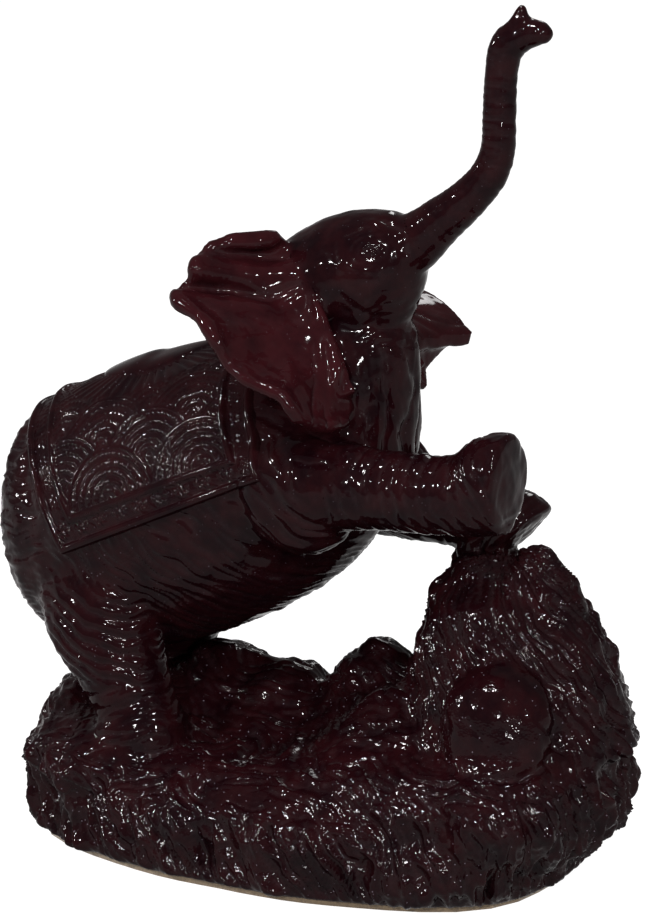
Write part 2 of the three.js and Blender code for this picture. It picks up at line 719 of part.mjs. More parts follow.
// The origin is under the middle of the figure's box, on the surface that the felt rests on.
const box = new THREE.Box3().setFromObject(figure);
const middle = box.getCenter(new THREE.Vector3());
figure.position.set(-middle.x, -middle.y, -box.min.z);

export default figure;
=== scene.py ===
"""Looks of the elephant figurine on its rocky base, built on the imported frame."""

import itertools
import json
import logging
import math
from dataclasses import dataclass, field
from enum import Enum
from typing import Callable

import bmesh
import bpy
import numpy as np
from mathutils import Matrix, Vector
from mathutils.bvhtree import BVHTree

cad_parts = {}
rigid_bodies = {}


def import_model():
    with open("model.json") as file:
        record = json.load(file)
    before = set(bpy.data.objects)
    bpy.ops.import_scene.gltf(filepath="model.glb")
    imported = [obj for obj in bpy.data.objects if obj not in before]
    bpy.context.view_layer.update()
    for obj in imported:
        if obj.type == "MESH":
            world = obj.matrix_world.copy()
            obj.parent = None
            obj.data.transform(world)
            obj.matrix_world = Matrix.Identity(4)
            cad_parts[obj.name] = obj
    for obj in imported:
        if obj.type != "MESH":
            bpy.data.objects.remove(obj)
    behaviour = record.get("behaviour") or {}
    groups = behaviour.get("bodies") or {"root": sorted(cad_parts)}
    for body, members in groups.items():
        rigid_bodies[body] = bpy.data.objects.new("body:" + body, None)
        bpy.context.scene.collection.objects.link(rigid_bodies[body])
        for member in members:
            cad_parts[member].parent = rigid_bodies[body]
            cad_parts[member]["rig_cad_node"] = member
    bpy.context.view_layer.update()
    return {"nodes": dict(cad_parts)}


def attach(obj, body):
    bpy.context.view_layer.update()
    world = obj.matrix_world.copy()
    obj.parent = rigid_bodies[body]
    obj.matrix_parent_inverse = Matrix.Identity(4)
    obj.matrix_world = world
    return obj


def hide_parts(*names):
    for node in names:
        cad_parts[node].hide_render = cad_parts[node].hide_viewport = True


logging.basicConfig(level=logging.INFO, format="%(message)s")
log = logging.getLogger("elephant")

MM = 0.001
ORIGIN = np.array([23.117, 0.5435, 0.0])  # mm; the figure's own origin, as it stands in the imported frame

Array = np.ndarray
Relief = Callable[[Array, Array], Array]
Tree = bpy.types.NodeTree
Socket = bpy.types.NodeSocket


# --------------------------------------------------------------------------- numbers on points


def ramp(value: Array, start: float, end: float) -> Array:
    """Eases from 0 at start to 1 at end."""
    share = np.clip((value - start) / (end - start), 0.0, 1.0)
    return share * share * (3.0 - 2.0 * share)


def noise(points: Array, size: float | tuple[float, float, float], seed: int) -> Array:
    """Smooth seeded noise.

    Args:
        points: Places in mm, one row each.
        size: Size of one lump in mm, for all three axes or for each.
        seed: Picks one pattern.

    Returns:
        A value of about -1 to 1 for each point.
    """
    random = np.random.default_rng(seed)
    order = random.permutation(256)
    slopes = random.normal(size=(256, 3))
    slopes /= np.linalg.norm(slopes, axis=1)[:, None]
    scaled = points / np.asarray(size, float)
    cell = np.floor(scaled).astype(np.int64)
    inside = scaled - cell
    ease = inside**3 * (inside * (inside * 6.0 - 15.0) + 10.0)
    total = np.zeros(len(points))
    for corner in itertools.product((0, 1), repeat=3):
        at = (cell + corner) & 255
        pick = order[(order[(order[at[:, 0]] + at[:, 1]) & 255] + at[:, 2]) & 255]
        weight = np.prod(np.where(corner, ease, 1.0 - ease), axis=1)
        total += weight * ((inside - corner) * slopes[pick]).sum(1)
    return 1.6 * total


def pillows(phase: Array, roundness: float = 0.65) -> Array:
    """Rounded ridges with a sharp furrow at every whole phase, from -1 in the furrow to 0 on the ridge."""
    return np.abs(np.sin(np.pi * phase)) ** roundness - 1.0


def bump(distance: Array, breadth: float) -> Array:
    """A soft mound of height 1 that is about twice breadth wide."""
    return np.exp(-((distance / breadth) ** 2))


def tube(distance: Array, half: float) -> Array:
    """The upper half of a round cord of height 1."""
    return np.sqrt(np.clip(1.0 - (distance / half) ** 2, 0.0, 1.0))


def along_line(points: Array, line: Array) -> tuple[Array, Array]:
    """How far along a line, and how far off it, each point lies.

    Args:
        points: Places in mm.
        line: The line's corners in mm.

    Returns:
        The length along the line and the distance from it, in mm.
    """
    best = np.full(len(points), 1e9)
    length = np.zeros(len(points))
    done = 0.0
    for start, end in zip(line[:-1], line[1:]):
        step = end - start
        size = float(np.linalg.norm(step))
        share = np.clip((points - start) @ step / size**2, 0.0, 1.0)
        off = np.linalg.norm(points - start - share[:, None] * step, axis=1)
        nearer = off < best
        best = np.where(nearer, off, best)
        length = np.where(nearer, done + share * size, length)
        done += size
    return length, best


# --------------------------------------------------------------------------- mesh helpers


def select_only(piece: bpy.types.Object) -> None:
    """Makes one object the only selected and active one.

    Args:
        piece: The object.
    """
    for other in bpy.data.objects:
        other.select_set(False)
    piece.select_set(True)
    bpy.context.view_layer.objects.active = piece


def new_object(name: str, mesh: bpy.types.Mesh) -> bpy.types.Object:
    """Puts a mesh into the scene as an object at the origin.

    Args:
        name: The object's name.
        mesh: Its mesh.

    Returns:
        The object.
    """
    piece = bpy.data.objects.new(name, mesh)
    bpy.context.scene.collection.objects.link(piece)
    return piece


def cad_copies(nodes: list[bpy.types.Object], name: str, grow: Callable[[str], float]) -> bpy.types.Object:
    """Copies CAD nodes, welds their triangles and joins them.

    Args:
        nodes: The CAD nodes.
        name: The joined copy's name.
        grow: Says how far, in mm, the copy of a named node is swollen, so that thin joint gaps close.

    Returns:
        One object that holds all the copies.
    """
    copies = []
    for node in nodes:
        copy = new_object(f"{name}_{node.name}", node.data.copy())
        select_only(copy)
        bpy.ops.object.mode_set(mode="EDIT")
        bpy.ops.mesh.select_all(action="SELECT")
        bpy.ops.mesh.remove_doubles(threshold=0.002 * MM)
        bpy.ops.transform.shrink_fatten(value=grow(node.name) * MM)
        bpy.ops.object.mode_set(mode="OBJECT")
        copies.append(copy)
    select_only(copies[0])
    for copy in copies:
        copy.select_set(True)
    if len(copies) > 1:
        bpy.ops.object.join()
    copies[0].name = name
    copies[0].data.materials.clear()
    return copies[0]


def resurface(piece: bpy.types.Object, voxel: float) -> None:
    """Gives a piece an even fine net of squares.

    Args:
        piece: The piece, changed in place.
        voxel: Side of a square in mm.
    """
    select_only(piece)
    net = piece.modifiers.new("net", "REMESH")
    net.mode = "VOXEL"
    net.voxel_size = voxel * MM
    bpy.ops.object.modifier_apply(modifier=net.name)


def points_of(mesh: bpy.types.Mesh) -> Array:
    """The mesh's points, in mm from the figure's own origin.

    Args:
        mesh: The mesh.

    Returns:
        One row for each point.
    """
    flat = np.empty(len(mesh.vertices) * 3, np.float32)
    mesh.vertices.foreach_get("co", flat)
    return flat.reshape(-1, 3).astype(float) / MM - ORIGIN


def normals_of(mesh: bpy.types.Mesh) -> Array:
    """The outward direction at each of the mesh's points.

    Args:
        mesh: The mesh.

    Returns:
        One row for each point.
    """
    flat = np.empty(len(mesh.vertices) * 3, np.float32)
    mesh.vertex_normals.foreach_get("vector", flat)
    return flat.reshape(-1, 3).astype(float)


def set_layer(mesh: bpy.types.Mesh, name: str, values: Array) -> None:
    """Stores one number for each point, for the materials to read."""
    layer = mesh.attributes.new(name, "FLOAT", "POINT")
    layer.data.foreach_set("value", values.astype(np.float32))


def squares_of(mesh: bpy.types.Mesh) -> Array:
    """The corners of each square of a net made by resurface.

    Args:
        mesh: The net.

    Returns:
        Four point numbers for each square.
    """
    flat = np.empty(len(mesh.loops), np.int32)
    mesh.loops.foreach_get("vertex_index", flat)
    return flat.reshape(-1, 4)


@dataclass
class Net:
    """Which points of a net are neighbours.

    Attributes:
        count: How many points there are.
        squares: The corners of each square.
        start: The point that each side of a square starts from.
        end: The point that it runs to.
        degree: How many neighbours each point has.
    """

    count: int
    squares: Array

    def __post_init__(self) -> None:
        """Counts each point's neighbours."""
        self.start = self.squares.ravel()
        self.end = np.roll(self.squares, -1, axis=1).ravel()
        self.degree = np.maximum(np.bincount(self.start, minlength=self.count), 1.0)

    def spread(self, values: Array, rounds: int) -> Array:
        """Averages each point's value with its neighbours' again and again.

        Args:
            values: One number for each point.
            rounds: How many times.

        Returns:
            The softened numbers.
        """
        for _ in range(rounds):
            near = np.bincount(self.start, values[self.end], minlength=self.count) / self.degree
            values = 0.4 * values + 0.6 * near
        return values


def hollows(net: Net, height: Array, reach: int = 7, depth: float = 0.16) -> Array:
    """How deep each point lies in a furrow, from 0 on a ridge to 1."""
    return np.clip((net.spread(height, reach) - height) / depth, 0.0, 1.0)


# --------------------------------------------------------------------------- finishes


def srgb(code: str) -> tuple[float, float, float, float]:
    """Turns an sRGB hex value into the linear colour that a shader takes.

    Args:
        code: The hex value.

    Returns:
        Red, green, blue and 1.
    """
    parts = [int(code[i : i + 2], 16) / 255.0 for i in (1, 3, 5)]
    linear = [c / 12.92 if c <= 0.04045 else ((c + 0.055) / 1.055) ** 2.4 for c in parts]
    return (*linear, 1.0)


def add(tree: Tree, kind: str, settings: dict | None = None, links: dict | None = None) -> bpy.types.Node:
    """Adds a node.

    Args:
        tree: The material's node tree.
        kind: The node's type.
        settings: Values by property name, or by input name or number.
        links: The output that each named or numbered input takes.

    Returns:
        The node.
    """
    new = tree.nodes.new(kind)
    for key, value in (settings or {}).items():
        if isinstance(key, str) and hasattr(new, key):
            setattr(new, key, value)
        else:
            new.inputs[key].default_value = value
    for key, output in (links or {}).items():
        tree.links.new(output, new.inputs[key])
    return new


def stops(tree: Tree, value: Socket, *rows: tuple[float, str]) -> Socket:
    """Turns a value into a colour.

    Args:
        tree: The material's node tree.
        value: The value, from 0 to 1.
        rows: Places on it, each with its sRGB hex colour.

    Returns:
        The colour.
    """
    new = add(tree, "ShaderNodeValToRGB", links={"Fac": value})
    for stop, (at, code) in zip(new.color_ramp.elements, rows):
        stop.position = at
        stop.color = srgb(code)
    return new.outputs["Color"]


def clouds(tree: Tree, place: Socket, size_mm: float, detail: float, rough: float = 0.5) -> Socket:
    """Adds soft noise.

    Args:
        tree: The material's node tree.
        place: The place on the piece.
        size_mm: Size of one cloud in mm.
        detail: How many finer layers lie over it.
        rough: How strong the finer layers are.

    Returns:
        A value from 0 to 1.
    """
    settings = {"Scale": 1 / (size_mm * MM), "Detail": detail, "Roughness": rough}
    return add(tree, "ShaderNodeTexNoise", settings, {"Vector": place}).outputs["Fac"]


def times(tree: Tree, one: Socket, other: Socket) -> Socket:
    """Multiplies two values."""
    return add(tree, "ShaderNodeMath", {"operation": "MULTIPLY"}, {0: one, 1: other}).outputs[0]


def over(tree: Tree, share: Socket, below: Socket, code: str) -> Socket:
    """Lays an sRGB hex colour over another colour, by a share."""
    return add(tree, "ShaderNodeMix", {"data_type": "RGBA", 7: srgb(code)}, {0: share, 6: below}).outputs[2]


def dent(
    tree: Tree, height: Socket, strength: float, depth_mm: float, below: Socket | None = None
) -> Socket:
    """Adds unevenness that is too fine for the mesh.

    Args:
        tree: The material's node tree.
        height: The height, from 0 to 1.
        strength: How strongly it shows.
        depth_mm: Its depth in mm.
        below: The direction that it is added to.

    Returns:
        The direction that the surface faces.
    """
    links = {"Height": height} if below is None else {"Height": height, "Normal": below}
    settings = {"Strength": strength, "Distance": depth_mm * MM}
    return add(tree, "ShaderNodeBump", settings, links).outputs["Normal"]


def blank(name: str) -> tuple[bpy.types.Material, Tree, bpy.types.Node, Socket]:
    """Starts a material.

    Args:
        name: The material's name.

    Returns:
        The material, its node tree, its shader and the place on the piece.
    """
    material = bpy.data.materials.new(name)
    material.use_nodes = True
    tree = material.node_tree
    tree.nodes.clear()
    shader = add(tree, "ShaderNodeBsdfPrincipled")
    add(tree, "ShaderNodeOutputMaterial", links={"Surface": shader.outputs[0]})
    return material, tree, shader, add(tree, "ShaderNodeTexCoord").outputs["Object"]


def supply(
    tree: Tree, shader: bpy.types.Node, values: dict[str, float], links: dict[str, Socket]
) -> None:
    """Fills a shader's inputs.

    Args:
        tree: The material's node tree.
        shader: The shader.
        values: Numbers that are the same all over, by input.
        links: What each other input takes.
    """
    for name, value in values.items():
        shader.inputs[name].default_value = value
    for name, output in links.items():
        tree.links.new(output, shader.inputs[name])


def wear(piece: bpy.types.Object, material: bpy.types.Material) -> None:
    """Puts one material on all of a piece, in its own slots.

    Args:
        piece: The piece.
        material: The material.
    """
    if not piece.data.materials:
        piece.data.materials.append(material)
    for slot in piece.material_slots:
        slot.link = "OBJECT"
        slot.material = material


@dataclass(frozen=True)
class LacqueredPolyresin:
    """Polyresin cast in a mould and stained like rosewood, then sprayed with clear lacquer.

    It is an almost black red-brown with a wet shine, with pale dust settled in the furrows, a painted
    redder glow of light through thin walls, and a few painted glints: small pale specks that stand in for
    tiny highlights.

    Attributes:
        name: The material's name.
        deep: Stain in the open, sRGB.
        warm: Stain where it is wiped thinner, sRGB.
        thin: Painted glow of light coming through thin walls, a redder tone over the stain, sRGB.
        dust: Settled dust, sRGB.
        dust_share: How much dust the furrows hold at most.
        painted_glint: Painted glint, a pale speck that stands in for a tiny highlight, sRGB.
        grain_mm: Size of the fine unevenness under the lacquer.
        shine: Roughness of the lacquer.
    """

    name: str = "rosewood_stained_lacquered_polyresin"
    deep: str = "#060102"
    warm: str = "#100304"
    thin: str = "#180508"
    dust: str = "#51474a"
    dust_share: float = 0.024
    painted_glint: str = "#cfc2d4"
    grain_mm: float = 0.7
    shine: float = 0.07

    def build(self) -> bpy.types.Material:
        """Builds the material.

        Returns:
            The material.
        """
        material, tree, shader, place = blank(self.name)
        furrow = add(tree, "ShaderNodeAttribute", {"attribute_name": "dust"}).outputs["Fac"]
        # Stain pools in patches of about 9 mm.
        cloud = clouds(tree, place, 9, 4.0, 0.6)
        stain = stops(tree, cloud, (0.35, self.deep), (0.72, self.warm))
        # Painted glow: a redder tone, in clouds, on thin walls, standing in for light that comes through
        # them.
        through_glow_share = add(tree, "ShaderNodeAttribute", {"attribute_name": "thin"}).outputs["Fac"]
        stain = over(tree, times(tree, through_glow_share, cloud), stain, self.thin)
        # Dust keeps to the furrows, broken up at about 2 mm.
        patch = clouds(tree, place, 2.2, 3.0, 0.7)
        lies = add(
            tree,
            "ShaderNodeMapRange",
            {"From Min": 0.35, "From Max": 0.7, "To Min": 0.006, "To Max": self.dust_share},
            {"Value": patch},
        )
        dusty = times(tree, furrow, lies.outputs["Result"])
        under = over(tree, dusty, stain, self.dust)
        # Painted glints: pale specks up to 0.4 mm across that stand in for tiny highlights, in one cell in
        # ten of a net of about 1 mm, and mostly in the rock.
        cells = add(tree, "ShaderNodeTexVoronoi", {"Scale": 1 / (0.95 * MM)}, {"Vector": place})
        pick = add(tree, "ShaderNodeSeparateColor", links={"Color": cells.outputs["Color"]})
        chosen = add(tree, "ShaderNodeMath", {"operation": "GREATER_THAN", 1: 0.9}, {0: pick.outputs[0]})
        near = add(tree, "ShaderNodeMath", {"operation": "LESS_THAN", 1: 0.2}, {0: cells.outputs["Distance"]})
        painted_glint = times(tree, chosen.outputs[0], near.outputs[0])
        grit = add(tree, "ShaderNodeAttribute", {"attribute_name": "grit"}).outputs["Fac"]
        painted_glint_share = add(tree, "ShaderNodeMath", {"operation": "MULTIPLY_ADD", 1: 0.05, 2: 0.01}, {0: grit})
        colour = over(tree, times(tree, painted_glint, painted_glint_share.outputs[0]), under, self.painted_glint)
        rough = add(
            tree,
            "ShaderNodeMapRange",
            {"From Min": 0.0, "From Max": self.dust_share, "To Min": 0.12, "To Max": 0.36},
            {"Value": dusty},
        )
        # Fine unevenness that the lacquer doesn't level, then sand of about 0.8 mm cast into the rock.
        fine = clouds(tree, place, self.grain_mm, 3.0, 0.65)
        sand = add(tree, "ShaderNodeTexVoronoi", {"Scale": 1 / (0.8 * MM)}, {"Vector": place})
        sandy = times(tree, sand.outputs["Distance"], grit)
        relief = dent(tree, sandy, 0.3, 0.16, dent(tree, fine, 0.25, 0.03))
        # The clear coat carries nearly all of the gloss.
        gloss = {
            "IOR": 1.5,
            "Specular IOR Level": 0.004,
            "Coat Weight": 0.115,
            "Coat Roughness": self.shine,
            "Coat IOR": 1.5,
        }
        surface = {
            "Base Color": colour,
            "Roughness": rough.outputs["Result"],
            "Normal": relief,
            "Coat Normal": relief,
        }
        supply(tree, shader, gloss, surface)
        return material


@dataclass(frozen=True)
class WoolFelt:
    """Pressed wool felt: dull, with short matted fibres and no weave.

    Attributes:
        name: The material's name.
        dark: Colour between fibres, sRGB.
        pale: Colour of the fibres on top, sRGB.
    """

    name: str = "brown_wool_felt"
    dark: str = "#2c2116"
    pale: str = "#594a35"

    def build(self) -> bpy.types.Material:
        """Builds the material.

        Returns:
            The material.
        """
        material, tree, shader, place = blank(self.name)
        fibre = clouds(tree, place, 0.8, 6.0, 0.8)
        surface = {
            "Base Color": stops(tree, fibre, (0.3, self.dark), (0.7, self.pale)),
            "Normal": dent(tree, fibre, 0.6, 0.2),
        }
        supply(tree, shader, {"Roughness": 0.95, "Sheen Weight": 0.3}, surface)
        return material


@dataclass(frozen=True)
class DrawnSteel:
    """Drawn steel wire: grey metal with fine marks along its length.

    Attributes:
        name: The material's name.
        metal: The metal's colour, sRGB.
        shadow: The colour in the drawing marks, sRGB.
    """

    name: str = "drawn_steel_wire"
    metal: str = "#b9b9b6"
    shadow: str = "#83827e"

    def build(self) -> bpy.types.Material:
        """Builds the material.

        Returns:
            The material.
        """
        material, tree, shader, place = blank(self.name)
        marks = clouds(tree, place, 0.5, 2.0)
        surface = {
            "Base Color": stops(tree, marks, (0.35, self.shadow), (0.65, self.metal)),
            "Normal": dent(tree, marks, 0.2, 0.02),
        }
        supply(tree, shader, {"Metallic": 1.0, "Roughness": 0.32}, surface)
        return material


@dataclass(frozen=True)
class MattePaper:
    """Plain seamless paper on a lit table, for the floor: pale and dull, with hardly any tooth.

    Attributes:
        name: The material's name.
        pale: The light through it, sRGB.
        shade: The light through its faint clouds, sRGB.
        body: The paper's own colour, sRGB.
        lift: Light that comes through it from below, as on a lit table.
    """

    name: str = "pale_matte_paper"
    pale: str = "#fffefe"
    shade: str = "#fcfcfc"
    body: str = "#4a4949"
    lift: float = 0.97

    def build(self) -> bpy.types.Material:
        """Builds the material.

        Returns:
            The material.
        """
        material, tree, shader, place = blank(self.name)
        cloud = clouds(tree, place, 180, 1.0)
        light = {"Emission Color": stops(tree, cloud, (0.3, self.shade), (0.7, self.pale))}
        supply(tree, shader, {"Roughness": 0.9, "Emission Strength": self.lift}, light)
        shader.inputs["Base Color"].default_value = srgb(self.body)
        return material


class Finish(Enum):
    """The finishes of the figure, each with a slot name."""

    CASTING = ("casting", LacqueredPolyresin())
    # The ears take a brighter thin colour: a painted glow of light through their thin walls.
    EAR = ("ear", LacqueredPolyresin(name="rosewood_stained_lacquered_polyresin_thin", thin="#1b0608"))
    FELT = ("felt", WoolFelt())
    STEEL = ("steel", DrawnSteel())

    def dress(self, piece: bpy.types.Object) -> None:
        """Puts the finish on a piece, building its material the first time.

        Args:
            piece: The piece.
        """
        slot, finish = self.value
        material = bpy.data.materials.get(finish.name) or finish.build()
        wear(piece, material)


def settle(piece: bpy.types.Object, finish: Finish, *nodes: str) -> None:
    """Dresses a finished piece and puts it in the place of its CAD nodes.

    Args:
        piece: The piece.
        finish: Its finish.
        nodes: Names of the CAD nodes that it replaces.
    """
    select_only(piece)
    bpy.ops.object.shade_smooth()
    finish.dress(piece)
    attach(piece, "root")
    if nodes:
        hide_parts(*nodes)
    piece.data.calc_loop_triangles()
    log.info("%s: %d triangles", piece.name, len(piece.data.loop_triangles))


# --------------------------------------------------------------------------- carving of the skin


@dataclass
class Spine:
    """The line through the barrel that the skin's folds and the saddle cloth follow.

    Attributes:
        middle: A place on the line in mm.
        ahead: Its direction.
    """

    middle: Array = field(default_factory=lambda: np.array([-56.6, 0.0, 97.9]))
    ahead: Array = field(default_factory=lambda: np.array([0.9135, 0.0, 0.4067]))

    @property
    def up(self) -> Array:
        """The direction from the line to the top of the back."""
        return np.array([-self.ahead[2], 0.0, self.ahead[0]])

    def read(self, points: Array) -> tuple[Array, Array, Array]:
        """Length along the line, angle from its top towards the near side, and distance, of each point.

        Args:
            points: Places in mm, one row each.

        Returns:
            The length in mm, the angle and the distance in mm.
        """
        offset = points - self.middle
        along = offset @ self.ahead
        high = offset @ self.up
        return along, np.arctan2(-offset[:, 1], high), np.hypot(offset[:, 1], high)

    def place(self, along: Array, angle: Array, radius: Array) -> Array:
        """The point at a length, angle and distance.

        Args:
            along: Length along the line in mm.
            angle: Angle from its top.
            radius: Distance from it in mm.

        Returns:
            The places in mm.
        """
        side = np.array([0.0, -1.0, 0.0])
        out = np.cos(angle)[..., None] * self.up + np.sin(angle)[..., None] * side
        return self.middle + along[..., None] * self.ahead + radius[..., None] * out


@dataclass
class Hide:
    """The elephant's folded skin and the rock's tool marks, as heights in mm on each casting.

    Attributes:
        fold_mm: Spacing of the folds across a leg.
        fold_depth: Depth of the folds in mm.
        spine: The line that the folds of the barrel follow.
    """

    fold_mm: float = 4.0
    fold_depth: float = 0.85
    spine: Spine = field(default_factory=Spine)

    def wander(self, points: Array, seed: int, amount: float = 0.45, size: float = 13.0) -> Array:
        """How far the folds stray from their even course, in spacings."""
        return amount * noise(points, size, seed) + 0.3 * amount * noise(points, size * 0.4, seed + 1)

    def fade(self, points: Array, seed: int, size: float = 11.0) -> Array:
        """Lets folds come and go along their length."""
        return 0.35 + 0.65 * ramp(noise(points, size, seed), -0.45, 0.35)

    def strokes(self, across: Array, along: Array, points: Array, seed: int, width: float = 3.0) -> Array:
        """Long curved chisel strokes with sharp ridges.

        Args:
            across: Place across the strokes in mm.
            along: Place along them in mm.
            points: Places in mm, which bend the strokes.
            seed: Picks the strokes.
            width: Spacing of the strokes in mm.

        Returns:
            A height of about -1 to 0.6.
        """
        bent = across + 5.0 * noise(points, 24.0, seed) + 1.6 * noise(points, 8.0, seed + 1)
        laid = np.column_stack([bent / width, along / (7.0 * width), np.zeros(len(points))])
        wide = np.abs(noise(laid, 1.0, seed + 2))
        fine = np.abs(noise(laid * (1.9, 1.5, 1.0) + 7.3, 1.0, seed + 3))
        return 0.6 - 1.9 * wide + 0.5 * (0.4 - fine)

    def torso(self, points: Array, normals: Array) -> Array:
        """Level wrinkles on the rump, slanting strokes on thigh and flank, upright folds on the throat.

        Args:
            points: Places in mm, one row each.
            normals: The outward direction at each place; not used here.

        Returns:
            A height in mm for each place.
        """
        along, _, _ = self.spine.read(points)
        x, y, z = points[:, 0], np.abs(points[:, 1]), points[:, 2]
        rump = self.strokes(z - 0.3 * y + 0.004 * (x + 90.0) ** 2, y + x, points, 11, 2.7)
        flank = self.strokes(0.5 * x + 0.85 * z, 0.85 * x - 0.5 * z, points, 13, 3.3)
        thigh = self.strokes(0.75 * x + 0.65 * z, 0.65 * x - 0.75 * z, points, 21, 2.8)
        knee = 1.5 * pillows((z + 0.35 * x + 0.25 * y) / 4.3 + self.wander(points, 25, 0.55)) + 0.3
        low = 1.0 - ramp(z, 66.0, 84.0)
        thigh = low * knee + (1.0 - low) * thigh
        throat = 1.9 * pillows(points[:, 1] / 8.6 + 0.1 + self.wander(points, 15, 0.45))
        throat += 0.3 * self.strokes(points[:, 1], z, points, 17, 3.0)
        back = 1.0 - ramp(x, -92.0, -76.0)
        front = ramp(along, 50.0, 60.0)
        leg = ramp(y, 12.0, 20.0) * (1.0 - ramp(z, 92.0, 102.0))
        leg = leg * (1.0 - back) * (1.0 - ramp(x, -62.0, -50.0))
        side = 1.0 - np.clip(back + front + leg, 0.0, 1.0)
        folds = back * rump + front * throat + leg * 1.2 * thigh + side * flank
        return self.fold_depth * 0.95 * (folds - 0.15) * (0.4 + 0.6 * self.fade(points, 19, 14.0))

    def limb(self, line: Array, seed: int) -> Relief:
        """Curved folds across a leg.

        Args:
            line: The leg's middle line in mm.
            seed: Picks the folds' course.

        Returns:
            The relief of that leg.
        """

        def carve(points: Array, normals: Array) -> Array:
            """Folds that sag towards the leg's underside.

            Args:
                points: Places in mm, one row each.
                normals: The outward direction at each place.

            Returns:
                A height in mm for each place.
            """
            along, _ = along_line(points, line)
            sag = 1.6 * normals[:, 2] * (abs(line[-1] - line[0])[0] > 30.0) + 1.2 * np.abs(normals[:, 1])
            folds = pillows((along + sag) / self.fold_mm + self.wander(points, seed, 0.55, 12.0))
            fine = self.strokes(along + sag, points[:, 1] + points[:, 2], points, seed + 3, 1.9)
            return self.fold_depth * (0.8 * folds * self.fade(points, seed + 5) + 0.3 * (fine - 0.3))

        return carve

    def head(self, points: Array, normals: Array) -> Array:
        """Rings about each eye, brow and jaw folds, on a smooth skull.

        Args:
            points: Places in mm, one row each.
            normals: The outward direction at each place; not used here.

        Returns:
            A height in mm for each place.
        """
        mirrored = np.column_stack([points[:, 0], -np.abs(points[:, 1]), points[:, 2]])
        eye = np.array([6.6, -13.0, 176.3])
        off = np.linalg.norm((mirrored - eye) * (0.72, 0.7, 1.15), axis=1)
        behind = ramp(eye[0] + 1.0 - points[:, 0], -3.0, 3.0)
        rings = pillows(off / 2.7 + 0.3 + self.wander(points, 31, 0.45, 7.0))
        rings = rings * ramp(off, 3.2, 4.2) * (1.0 - ramp(off, 6.0, 12.0))
        height = 0.3 * rings * self.fade(points, 32, 6.0) * (0.2 + 0.8 * behind) - 0.9 * bump(off, 3.2)
        # Lids about a small eye.
        height += 0.75 * tube(off, 1.35) + 0.45 * bump(off - 2.1, 0.5) - 0.3 * bump(off - 1.4, 0.3)
        lines = (
            (-0.6, 0.9, [(6.7, -5.7, 183.7), (10.9, -6.2, 182.0), (14.4, -7.1, 181.0), (15.1, -7.8, 175.6)]),
            (0.5, 1.3, [(4.0, -7.5, 183.0), (9.5, -8.5, 180.5)]),
            (-0.35, 1.2, [(-1, -15.8, 160), (2.5, -13.8, 156.2), (7, -10.2, 153.6), (11, -5, 152.6)]),
            (-0.35, 1.2, [(-0.5, -16.2, 163.5), (3.5, -14.4, 159.6), (8, -10.6, 157), (12, -6, 156)]),
            (-0.3, 1.2, [(1.0, -16.2, 166.8), (5.5, -14.0, 162.8), (10.0, -9.6, 160.6), (13.0, -6.0, 160.4)]),
            (0.7, 1.6, [(1.5, -13.5, 157.4), (6.7, -10.3, 152.9), (11.1, -4.4, 151.1)]),
            (0.55, 1.9, [(-0.8, -15.8, 172.0), (0.6, -15.4, 174.6)]),
        )
        for amount, breadth, corners in lines:
            height += amount * bump(along_line(mirrored, np.array(corners))[1], breadth)
        lower = 1.0 - ramp(points[:, 2], 158.0, 170.0)
        crown = 1.0 - lower
        folds = pillows((points[:, 2] - 0.5 * points[:, 0]) / 3.4 + self.wander(points, 33, 0.7, 9.0))
        return height + 0.3 * folds * lower * self.fade(points, 35) + 0.12 * crown * noise(points, 7.0, 37)

    def trunk(self, points: Array, normals: Array) -> Array:
        """Rings round the trunk, deeper above and fading below, with a groove along each side.

        Args:
            points: Places in mm, one row each.
            normals: The outward direction at each place.

        Returns:
            A height in mm for each place.
        """
        line = np.array(
            [(4.1, 0, 172), (13.2, 0, 177), (20.8, 0, 183.5), (27.4, 0, 188.7), (32.8, 0, 194),
             (36.3, 0, 198.9), (38.1, 0, 204.4), (38.5, 0, 215), (38.9, 0, 225), (40.5, 0, 232.5),
             (44, 0, 237), (54, 0, 236)],
            float,
        )
        along, _ = along_line(points, line)
        upper = ramp(-normals[:, 0] + 0.6 * normals[:, 2] * (points[:, 0] < 36.0), -0.8, 0.9)
        rings = pillows((along + 0.8 * np.abs(normals[:, 1])) / 2.3 + self.wander(points, 41, 0.4, 9.0))
        inner = pillows((along - 1.2 * np.abs(normals[:, 1])) / 4.3 + self.wander(points, 43, 0.5, 8.0))
        groove = bump(np.abs(normals[:, 1]) - 0.97, 0.06)
        height = 0.3 * rings * (0.15 + 0.85 * upper) * self.fade(points, 45)
        return height + 0.2 * inner * (1.0 - upper) - 0.2 * groove

